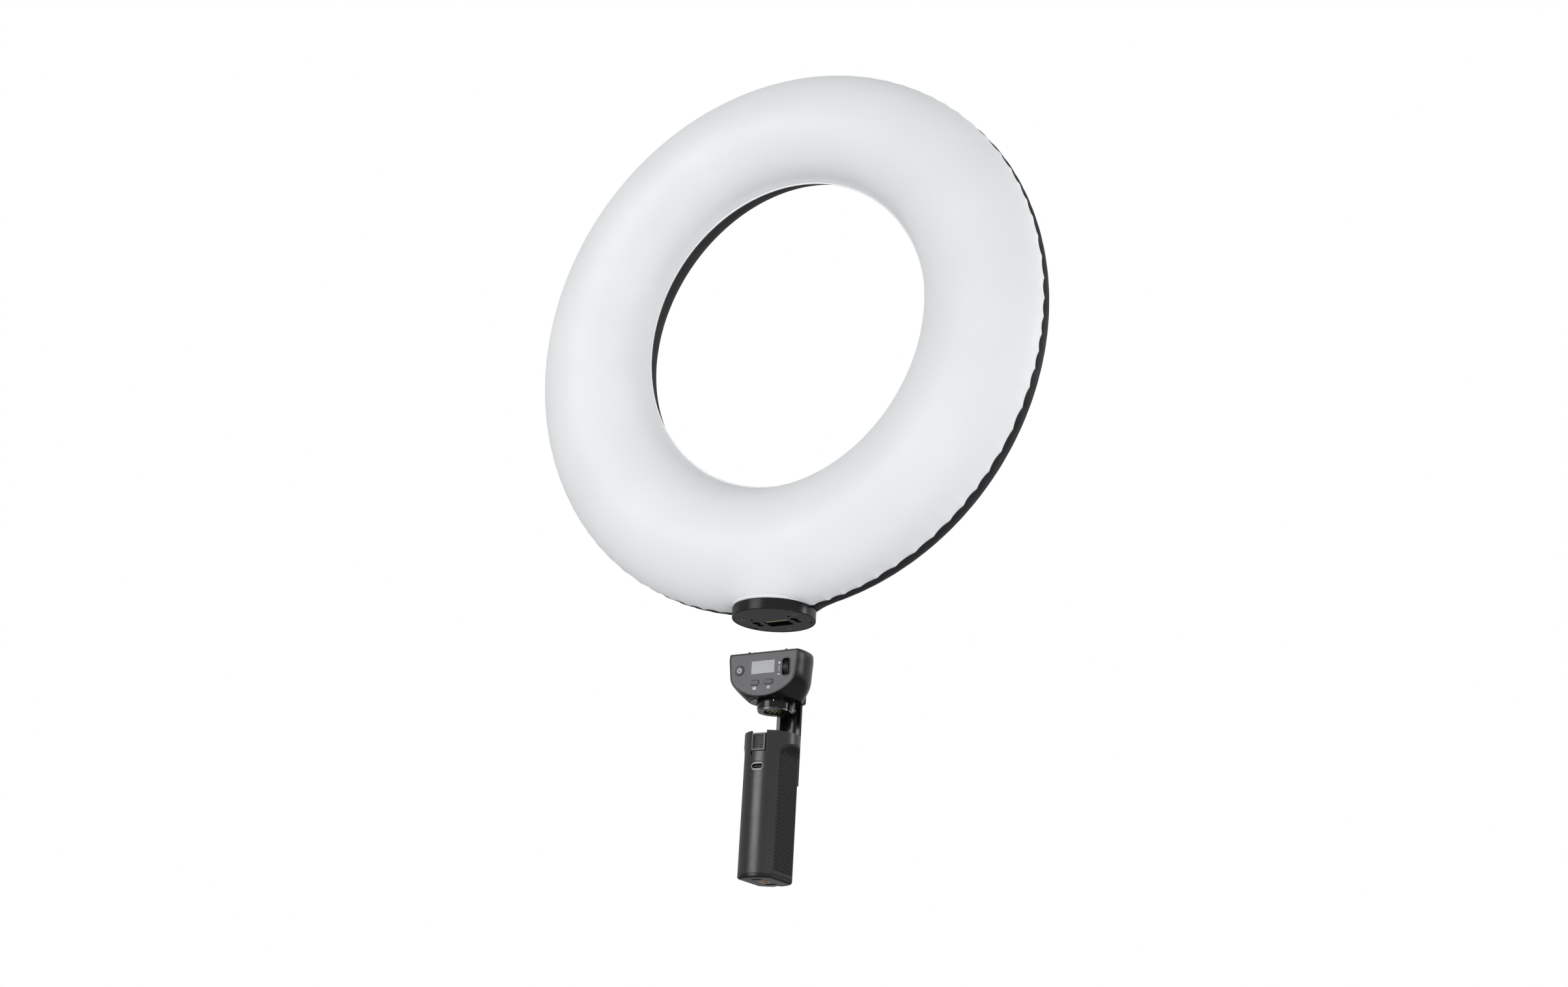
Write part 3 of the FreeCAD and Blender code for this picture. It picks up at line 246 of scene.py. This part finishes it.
# The latch: its frame lies further than this from the grip's axis, and its ribbed field nearer
LATCH_FACE = 0.0213
LATCH_FRAME_COLOUR = (0.12, 0.12, 0.125)
LATCH_RIB_COLOUR = (0.02, 0.02, 0.022)

INK_COLOUR = (0.82, 0.82, 0.83)

# Pieces whose finish differs a little from that of their slot
OWN_FINISH = {"grip_shell": "grip_plastic", "usb_shell": "dark_steel", "latch_spring": "dark_steel"}


# Shader nodes

def new_material(name):
    material = bpy.data.materials.new(name)
    material.use_nodes = True
    tree = material.node_tree
    return material, tree, tree.nodes["Principled BSDF"]


def coordinates(tree):
    return tree.nodes.new("ShaderNodeTexCoord").outputs["Object"]


def combine(tree, operation, first, second):
    """A math node's result for two sockets."""
    node = tree.nodes.new("ShaderNodeMath")
    node.operation = operation
    tree.links.new(first, node.inputs[0])
    tree.links.new(second, node.inputs[1])
    return node.outputs["Value"]


def spread(tree, value, low, high, start=NOISE_LOW, end=NOISE_HIGH):
    """A value that runs from start to end, spread from low to high."""
    node = tree.nodes.new("ShaderNodeMapRange")
    node.inputs["From Min"].default_value = start
    node.inputs["From Max"].default_value = end
    node.inputs["To Min"].default_value = low
    node.inputs["To Max"].default_value = high
    tree.links.new(value, node.inputs["Value"])
    return node.outputs["Result"]


def noise(tree, scale, detail=3.0, roughness=0.5, stretch=None):
    """A noise texture laid on the object, in patches of about 1 / scale metres."""
    node = tree.nodes.new("ShaderNodeTexNoise")
    node.inputs["Scale"].default_value = scale
    node.inputs["Detail"].default_value = detail
    node.inputs["Roughness"].default_value = roughness
    source = coordinates(tree)
    if stretch:
        mapping = tree.nodes.new("ShaderNodeMapping")
        mapping.inputs["Scale"].default_value = stretch
        tree.links.new(source, mapping.inputs["Vector"])
        source = mapping.outputs["Vector"]
    tree.links.new(source, node.inputs["Vector"])
    return node.outputs["Fac"]


def shade_between(tree, factor, first, last):
    """A colour that drifts from the first to the last with a noise texture."""
    ramp = tree.nodes.new("ShaderNodeValToRGB")
    ramp.color_ramp.elements[0].position = NOISE_LOW
    ramp.color_ramp.elements[0].color = (*first, 1)
    ramp.color_ramp.elements[1].position = NOISE_HIGH
    ramp.color_ramp.elements[1].color = (*last, 1)
    tree.links.new(factor, ramp.inputs["Fac"])
    return ramp.outputs["Color"]


def scaled(colour, factor):
    return tuple(channel * factor for channel in colour)


def bump(tree, shader, height, depth, strength, edge=0.0):
    """Relief of the given depth, over edges rounded by a small radius where one is given."""
    node = tree.nodes.new("ShaderNodeBump")
    node.inputs["Strength"].default_value = strength
    node.inputs["Distance"].default_value = depth
    tree.links.new(height, node.inputs["Height"])
    if edge:
        bevel = tree.nodes.new("ShaderNodeBevel")
        bevel.samples = 4
        bevel.inputs["Radius"].default_value = edge
        tree.links.new(bevel.outputs["Normal"], node.inputs["Normal"])
    tree.links.new(node.outputs["Normal"], shader.inputs["Normal"])


def gloss_by_facing(tree, shader, square):
    """Reflection strength that falls to nothing on slanting faces, as on matt-grained surfaces."""
    weight = tree.nodes.new("ShaderNodeLayerWeight")
    weight.inputs["Blend"].default_value = 0.5
    level = spread(tree, weight.outputs["Facing"], square, 0.0, start=0.0, end=1.0)
    tree.links.new(level, shader.inputs["Specular IOR Level"])


# Materials

def moulded(name, colour, rough, grain=4200.0, grain_depth=0.00002, edge=0.00025, coat=0.0, gloss=0.35):
    """Moulded plastic: fine spark texture, slow drift in tone, and softened edges."""
    material, tree, shader = new_material(name)
    drift = noise(tree, scale=60.0, detail=2.0)
    colours = shade_between(tree, drift, scaled(colour, 0.96), scaled(colour, 1.04))
    tree.links.new(colours, shader.inputs["Base Color"])
    smears = spread(tree, noise(tree, scale=300.0), rough - 0.02, rough + 0.02)
    tree.links.new(smears, shader.inputs["Roughness"])
    shader.inputs["Coat Weight"].default_value = coat
    shader.inputs["Coat Roughness"].default_value = 0.12
    gloss_by_facing(tree, shader, gloss)
    bump(tree, shader, noise(tree, scale=grain, detail=2.0), grain_depth, strength=0.35, edge=edge)
    return material


def latch_plastic(name):
    """The latch: a light frame round a darker ribbed field, told apart by distance from the grip's axis."""
    material = moulded(name, LATCH_FRAME_COLOUR, 0.42)
    tree = material.node_tree
    shader = tree.nodes["Principled BSDF"]
    flatten = tree.nodes.new("ShaderNodeVectorMath")
    flatten.operation = "MULTIPLY"
    flatten.inputs[1].default_value = (1, 1, 0)
    tree.links.new(coordinates(tree), flatten.inputs[0])
    distance = tree.nodes.new("ShaderNodeVectorMath")
    distance.operation = "LENGTH"
    tree.links.new(flatten.outputs["Vector"], distance.inputs[0])
    outside = tree.nodes.new("ShaderNodeMath")
    outside.operation = "GREATER_THAN"
    outside.inputs[1].default_value = LATCH_FACE
    tree.links.new(distance.outputs["Value"], outside.inputs[0])
    frame_tone = shader.inputs["Base Color"].links[0].from_socket
    mixed = tree.nodes.new("ShaderNodeMix")
    mixed.data_type = "RGBA"
    mixed.inputs[MIX_FIRST].default_value = (*LATCH_RIB_COLOUR, 1)
    tree.links.new(outside.outputs["Value"], mixed.inputs[MIX_FACTOR])
    tree.links.new(frame_tone, mixed.inputs[MIX_SECOND])
    tree.links.new(mixed.outputs[MIX_RESULT], shader.inputs["Base Color"])
    return material


def metal(name, colour, rough):
    """Turned or brushed metal: fine streaks across the upright axis, and softened edges."""
    material, tree, shader = new_material(name)
    streaks = noise(tree, scale=900.0, roughness=0.6, stretch=(1.0, 1.0, 30.0))
    tree.links.new(shade_between(tree, streaks, scaled(colour, 0.85), colour), shader.inputs["Base Color"])
    tree.links.new(spread(tree, streaks, rough - 0.06, rough + 0.08), shader.inputs["Roughness"])
    shader.inputs["Metallic"].default_value = 1.0
    bump(tree, shader, streaks, depth=0.00001, strength=0.3, edge=0.0002)
    return material


def coated_cloth(name, colour, cool, rough, gloss, weave_depth):
    """Tight woven cloth with a smooth coating: a fine crossed weave under a slow drift in tone."""
    material, tree, shader = new_material(name)
    drift = noise(tree, scale=14.0, detail=2.0, roughness=0.45)
    tree.links.new(shade_between(tree, drift, cool, colour), shader.inputs["Base Color"])
    smears = spread(tree, noise(tree, scale=90.0), rough - 0.05, rough + 0.05)
    tree.links.new(smears, shader.inputs["Roughness"])
    gloss_by_facing(tree, shader, gloss)
    threads = []
    for direction in ("X", "Z"):
        wave = tree.nodes.new("ShaderNodeTexWave")
        wave.bands_direction = direction
        wave.inputs["Scale"].default_value = 700.0
        wave.inputs["Distortion"].default_value = 0.6
        wave.inputs["Detail Scale"].default_value = 40.0
        tree.links.new(coordinates(tree), wave.inputs["Vector"])
        threads.append(wave.outputs["Fac"])
    bump(tree, shader, combine(tree, "MULTIPLY", *threads), weave_depth, strength=0.3)
    return material


def printed(name, colour):
    """Pad-printed ink: opaque, slightly uneven."""
    material, tree, shader = new_material(name)
    patches = noise(tree, scale=2500.0, detail=2.0)
    tree.links.new(shade_between(tree, patches, scaled(colour, 0.93), colour), shader.inputs["Base Color"])
    tree.links.new(spread(tree, patches, 0.4, 0.55), shader.inputs["Roughness"])
    return material


def make_materials():
    materials = {name: coated_cloth(name, **finish) for name, finish in CLOTHS.items()}
    for name, finish in MOULDINGS.items():
        materials[name] = moulded(name, **finish)
    for name, finish in METALS.items():
        materials[name] = metal(name, **finish)
    materials["latch_grey"] = latch_plastic("latch_grey")
    materials["ink"] = printed("ink", INK_COLOUR)
    return materials


def dress_nodes(materials):
    for row in frame["record"]["subparts"]:
        node = frame["nodes"][row["node"]]
        node.data.materials.clear()
        finish = OWN_FINISH.get(row["node"], row["material_slot"])
        node.data.materials.append(materials[finish])


# Meshes

def mesh_object(name, vertices, faces, smooth=True):
    mesh = bpy.data.meshes.new(name)
    mesh.from_pydata([tuple(vertex) for vertex in vertices], [], faces)
    mesh.update()
    mesh.polygons.foreach_set("use_smooth", [smooth] * len(mesh.polygons))
    obj = bpy.data.objects.new(name, mesh)
    bpy.context.scene.collection.objects.link(obj)
    return obj


def tube_along(name, points, radius, sides, closed):
    """A round bead along a row of points: closed and upright as the ring is, or open and level."""
    count = len(points)
    flat = Vector((0, 1, 0)) if closed else Vector((0, 0, 1))
    vertices = []
    for index in range(count):
        before = points[index - 1] if closed or index else points[index]
        after = points[(index + 1) % count] if closed or index < count - 1 else points[index]
        forward = (Vector(after) - Vector(before)).normalized()
        side = forward.cross(flat).normalized()
        other = forward.cross(side)
        for step in range(sides):
            turn = 2 * math.pi * step / sides
            outward = side * math.cos(turn) + other * math.sin(turn)
            vertices.append(Vector(points[index]) + outward * radius)
    faces = []
    for index in range(count if closed else count - 1):
        following = (index + 1) % count
        for step in range(sides):
            turned = (step + 1) % sides
            faces.append((index * sides + step, index * sides + turned,
                          following * sides + turned, following * sides + step))
    if not closed:
        faces.append(tuple(range(sides)))
        faces.append(tuple(reversed(range((count - 1) * sides, count * sides))))
    return mesh_object(name, vertices, faces)


# Ring

def place_in_ring(points):
    """Points in the ring's own frame, put where the ring stands."""
    turn = np.array(Matrix.Rotation(RING_LEAN, 3, "X"))
    return points @ turn.T + np.array(RING_CENTRE)


def hole_radius(angle):
    """The hole's radius at an angle round the ring, from +X towards its top."""
    return HOLE_RADIUS + HOLE_RISE * np.sin(angle) - HOLE_OVAL * np.cos(2 * angle)


def scallop_phase(angle):
    """Each place's scallop by number, and where it lies there, from -1 at one cusp to 1 at the next."""
    wander = sum(share * np.sin(waves * angle + start) for share, waves, start in SCALLOP_WANDERS)
    turns = SCALLOPS * angle / (2 * np.pi) + wander
    number = np.floor(turns)
    return number.astype(int) % SCALLOPS, 2 * (turns - number) - 1


def ring_surface(front):
    """The points of one half of the tube, from the outer weld across to the inner weld."""
    angle = np.linspace(-np.pi, np.pi, ROUND_STEPS, endpoint=False)
    share = np.linspace(0.0, 1.0, SECTION_STEPS)
    across = np.pi * (share - SECTION_CROWDING * np.sin(2 * np.pi * share))
    angles, crosses = np.meshgrid(angle, across, indexing="ij")
    bulge = -FRONT_BULGE if front else BACK_BULGE
    inner = hole_radius(angles)
    middle = (RING_RADIUS + inner) / 2
    reach = (RING_RADIUS - inner) / 2
    cosine = np.cos(crosses)
    radius = middle + reach * np.sign(cosine) * np.abs(cosine) ** ROUNDNESS
    depth = bulge * np.abs(np.sin(crosses)) ** ROUNDNESS

    number, phase = scallop_phase(angles)
    draws = np.random.default_rng(SCALLOP_SEED).random(SCALLOPS)
    depths = SCALLOP_DEPTH * (SCALLOP_LEAST + SCALLOP_SPREAD * draws)
    hump = 1 - phase ** 2
    fade = np.clip(1 - crosses / SCALLOP_REACH, 0, 1) ** 2
    depth = depth + (SCALLOP_BASE - depths[number] * hump) * fade

    radius = radius - (RING_RADIUS - SEAM_RADIUS) * np.exp(-(crosses / SEAM_REACH) ** 2)
    pleat = np.exp(-crosses / PLEAT_FADE) * (1 - np.exp(-(crosses / PLEAT_START) ** 2))
    if front:
        radius = radius - FRONT_PLEAT * pleat * (hump - FRONT_PLEAT_LEVEL)
    else:
        radius = radius + BACK_PLEAT * pleat * (hump - BACK_PLEAT_LEVEL)
    radius = radius - INNER_SEAM_STEP * np.exp(-((np.pi - crosses) / INNER_SEAM_REACH) ** 2)
    points = np.stack([radius * np.cos(angles), depth, radius * np.sin(angles)], axis=-1)
    return place_in_ring(points)


def draw_to_disc(points):
    """Pulls the cloth round the ring's foot down to the disc's rim, in a short skirt."""
    away = np.hypot(points[..., 0] - DISC_CENTRE[0], points[..., 1] - DISC_CENTRE[1])
    low = points[..., 2] < DISC_TOP + SKIRT_HEIGHT
    climb = np.clip((away - (DISC_RADIUS - SKIRT_TUCK)) / SKIRT_REACH, 0, 1)
    weight = (1 - climb) ** SKIRT_FALL
    target = DISC_TOP + SKIRT_GAP + SKIRT_RISE * climb
    drop = np.where(low, weight * np.maximum(points[..., 2] - target, 0), 0)
    lift = np.where(low & (away < DISC_RADIUS), np.maximum(target - points[..., 2], 0), 0)
    moved = points.copy()
    moved[..., 2] = points[..., 2] - drop + lift
    return moved


def ring_half(name, front, material):
    points = draw_to_disc(ring_surface(front))
    rows, columns = points.shape[:2]
    faces = []
    for row in range(rows):
        following = (row + 1) % rows
        for column in range(columns - 1):
            face = (row * columns + column, following * columns + column,
                    following * columns + column + 1, row * columns + column + 1)
            faces.append(face if front else face[::-1])
    half = mesh_object(name, points.reshape(-1, 3), faces)
    half.data.materials.append(material)
    shell = half.modifiers.new("thickness", "SOLIDIFY")
    shell.thickness = CLOTH_THICKNESS
    shell.offset = -1.0
    return half


def add_inner_welt(materials):
    """The welded edge that rings the hole, as a bead whose lighter colour is a painted highlight."""
    angle = np.linspace(0, 2 * np.pi, WELT_STEPS, endpoint=False)
    radius = hole_radius(angle) - INNER_SEAM_STEP - WELT_INSET
    depth = np.full_like(angle, -WELT_FORWARD)
    points = np.stack([radius * np.cos(angle), depth, radius * np.sin(angle)], axis=-1)
    welt = tube_along("inner_weld_painted_highlight", place_in_ring(points), WELT_RADIUS, WELT_SIDES, closed=True)
    welt.data.materials.append(materials["seam"])
    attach(welt, "ring")
    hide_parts("inner_seam")


def add_hems(materials):
    """The soft hem where the cloth is drawn tight round the disc's top, white in front and black behind."""
    for name, first, last, material in HEMS:
        turns = np.radians(np.linspace(first, last, HEM_STEPS))
        points = np.stack([DISC_CENTRE[0] + HEM_REACH * np.cos(turns),
                           DISC_CENTRE[1] + HEM_REACH * np.sin(turns),
                           np.full_like(turns, DISC_TOP + HEM_RADIUS)], axis=-1)
        hem = tube_along(name, points, HEM_RADIUS, HEM_SIDES, closed=False)
        hem.data.materials.append(materials[material])
        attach(hem, "ring")


def add_ring(materials):
    front = ring_half("ring_front_cloth", True, materials["cloth_white"])
    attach(front, "ring")
    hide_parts("front_diffuser", "front_cuff")
    back = ring_half("ring_back_cloth", False, materials["cloth_black"])
    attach(back, "ring")
    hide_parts("back_skin", "back_cuff")
    add_inner_welt(materials)
    add_hems(materials)


# Marks

def flat_mark(name, outline, face_y, material, body, thickness=INK_THICKNESS):
    """A thin raised mark that looks to the front, from an outline of (x, z) points."""
    count = len(outline)
    vertices = [(x, face_y - thickness, z) for x, z in outline] + [(x, face_y, z) for x, z in outline]
    faces = [tuple(range(count)), tuple(reversed(range(count, 2 * count)))]
    for index in range(count):
        following = (index + 1) % count
        faces.append((index, index + count, following + count, following))
    mark = mesh_object(name, vertices, faces, smooth=False)
    edited = bmesh.new()
    edited.from_mesh(mark.data)
    bmesh.ops.recalc_face_normals(edited, faces=edited.faces)
    edited.to_mesh(mark.data)
    edited.free()
    mark.data.materials.append(material)
    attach(mark, body)
    return mark


def bar_outline(x, z, width, height):
    return [(x - width / 2, z - height / 2), (x + width / 2, z - height / 2),
            (x + width / 2, z + height / 2), (x - width / 2, z + height / 2)]


def arc_outline(x, z, radius, width, start, end):
    """A band along an arc, angles in degrees from +X towards +Z."""
    turns = [math.radians(start + (end - start) * step / ARC_STEPS) for step in range(ARC_STEPS + 1)]
    outer = radius + width / 2
    inner = radius - width / 2
    return ([(x + outer * math.cos(turn), z + outer * math.sin(turn)) for turn in turns]
            + [(x + inner * math.cos(turn), z + inner * math.sin(turn)) for turn in turns[::-1]])


def middle_of(node):
    """The middle of a node's box, and how far forward the node's face is."""
    low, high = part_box(node)
    return (low + high) / 2, low.y


def add_power_mark(ink):
    place, face = middle_of("power_button")
    ring = arc_outline(place.x, place.z, POWER_RADIUS, POWER_LINE, *POWER_ARC)
    flat_mark("power_mark_ring", ring, face, ink, "power_key")
    bar = bar_outline(place.x, place.z + POWER_BAR_RISE, POWER_LINE, POWER_BAR_HEIGHT)
    flat_mark("power_mark_bar", bar, face, ink, "power_key")


def add_wheel_marks(ink, face):
    wheel, _ = middle_of("wheel_bezel")
    x = wheel.x + SIGN_OFFSET
    plus_bar = bar_outline(x, wheel.z + PLUS_RISE, SIGN_LENGTH, SIGN_LINE)
    flat_mark("plus_bar", plus_bar, face, ink, "head")
    plus_post = bar_outline(x, wheel.z + PLUS_RISE, SIGN_LINE, SIGN_LENGTH)
    flat_mark("plus_post", plus_post, face, ink, "head", PLUS_POST_THICKNESS)
    scale_line = bar_outline(x, wheel.z + SCALE_RISE, SCALE_LINE, SCALE_LENGTH)
    flat_mark("scale_line", scale_line, face, ink, "head")
    minus_bar = bar_outline(x, wheel.z + MINUS_RISE, SIGN_LENGTH, SIGN_LINE)
    flat_mark("minus_bar", minus_bar, face, ink, "head")


def add_key_marks(ink, face):
    left, _ = middle_of("left_key")
    for index in range(KEY_BARS):
        bar = bar_outline(left.x, left.z - KEY_BAR_DROP - KEY_BAR_PITCH * index, KEY_BAR_LENGTH, KEY_LINE)
        flat_mark("left_key_mark_%d" % index, bar, face, ink, "head")
    right, _ = middle_of("right_key")
    ring = arc_outline(right.x, right.z - KEY_RING_DROP, KEY_RING_RADIUS, KEY_LINE, *KEY_RING_ARC)
    flat_mark("right_key_mark", ring, face, ink, "head")


def add_collar_mark(ink):
    """The bright index mark that lies in the collar's notch."""
    bar = bar_outline(0.0, COLLAR_MARK_Z, COLLAR_MARK_WIDTH, COLLAR_MARK_HEIGHT)
    mark = flat_mark("collar_mark", bar, -COLLAR_MARK_RADIUS, ink, "collar", COLLAR_MARK_THICKNESS)
    mark.data.transform(Matrix.Rotation(math.radians(COLLAR_MARK_TURN), 4, "Z"))


def add_marks(materials):
    ink = materials["ink"]
    add_power_mark(ink)
    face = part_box("fascia")[0].y
    add_wheel_marks(ink, face)
    add_key_marks(ink, face)
    add_collar_mark(ink)


# Camera, light, floor and background

def add_camera():
    """The photographed view, with the ring's middle a little off the camera's axis."""
    turn = math.radians(CAMERA_TURN)
    tilt = math.radians(CAMERA_TILT)
    roll = math.radians(CAMERA_ROLL)
    right = Vector((math.cos(turn), math.sin(turn), 0))
    back = Vector((math.sin(turn) * math.cos(tilt), -math.cos(turn) * math.cos(tilt), math.sin(tilt)))
    up = back.cross(right)
    rolled_right = right * math.cos(roll) + up * math.sin(roll)
    rolled_up = up * math.cos(roll) - right * math.sin(roll)
    axis_point = RING_CENTRE + rolled_right * RING_LEFT_OF_AXIS - rolled_up * RING_OVER_AXIS
    place = axis_point + back * CAMERA_DISTANCE
    data = bpy.data.cameras.new("camera")
    data.lens = CAMERA_LENS
    data.sensor_width = CAMERA_SENSOR
    camera = bpy.data.objects.new("camera", data)
    axes = Matrix((rolled_right, rolled_up, back)).transposed()
    camera.matrix_world = Matrix.Translation(place) @ axes.to_4x4()
    bpy.context.scene.collection.objects.link(camera)
    bpy.context.scene.camera = camera


def add_lamp(name, direction, distance, target, size, power):
    """A soft box of the given width and height, in the given direction from its target."""
    data = bpy.data.lights.new(name, "AREA")
    data.shape = "RECTANGLE"
    data.size, data.size_y = size
    data.energy = power
    light = bpy.data.objects.new(name, data)
    toward = Vector(direction).normalized()
    light.location = Vector(target) + toward * distance
    light.rotation_euler = (-toward).to_track_quat("-Z", "Y").to_euler()
    bpy.context.scene.collection.objects.link(light)


def add_world():
    """Soft light from all round, and a plain white background for the eye, reflections and glass."""
    world = bpy.data.worlds.new("studio")
    world.use_nodes = True
    bpy.context.scene.world = world
    tree = world.node_tree
    tree.nodes.clear()
    light = tree.nodes.new("ShaderNodeBackground")
    light.inputs["Color"].default_value = (*WORLD_COLOUR, 1)
    direction = tree.nodes.new("ShaderNodeSeparateXYZ")
    tree.links.new(tree.nodes.new("ShaderNodeTexCoord").outputs["Generated"], direction.inputs["Vector"])
    level = spread(tree, direction.outputs["X"], WORLD_LEFT, WORLD_RIGHT, start=-1.0, end=1.0)
    tree.links.new(level, light.inputs["Strength"])
    seen = tree.nodes.new("ShaderNodeBackground")
    seen.inputs["Color"].default_value = (1, 1, 1, 1)
    seen.inputs["Strength"].default_value = 1.0
    rays = tree.nodes.new("ShaderNodeLightPath").outputs
    seeing = combine(tree, "MAXIMUM", rays["Is Camera Ray"], rays["Is Glossy Ray"])
    seeing = combine(tree, "MAXIMUM", seeing, rays["Is Transmission Ray"])
    choose = tree.nodes.new("ShaderNodeMixShader")
    tree.links.new(seeing, choose.inputs[0])
    tree.links.new(light.outputs["Background"], choose.inputs[1])
    tree.links.new(seen.outputs["Background"], choose.inputs[2])
    output = tree.nodes.new("ShaderNodeOutputWorld")
    tree.links.new(choose.outputs["Shader"], output.inputs["Surface"])


def add_floor():
    """A pale round floor well below the part, which is held up by its tripod thread."""
    vertices = [(0, 0, FLOOR_HEIGHT)]
    for step in range(FLOOR_SIDES):
        turn = 2 * math.pi * step / FLOOR_SIDES
        vertices.append((FLOOR_REACH * math.cos(turn), FLOOR_REACH * math.sin(turn), FLOOR_HEIGHT))
    faces = [(0, step + 1, (step + 1) % FLOOR_SIDES + 1) for step in range(FLOOR_SIDES)]
    floor = mesh_object("floor", vertices, faces)
    material, tree, shader = new_material("floor")
    tones = shade_between(tree, noise(tree, scale=3.0), (0.9, 0.9, 0.9), (0.93, 0.93, 0.93))
    tree.links.new(tones, shader.inputs["Base Color"])
    shader.inputs["Roughness"].default_value = 0.9
    floor.data.materials.append(material)


def build():
    add_camera()
    materials = make_materials()
    dress_nodes(materials)
    add_ring(materials)
    add_marks(materials)
    add_world()
    add_floor()
    for lamp in LAMPS:
        add_lamp(*lamp)
    bpy.context.scene.view_settings.view_transform = "Standard"


build()
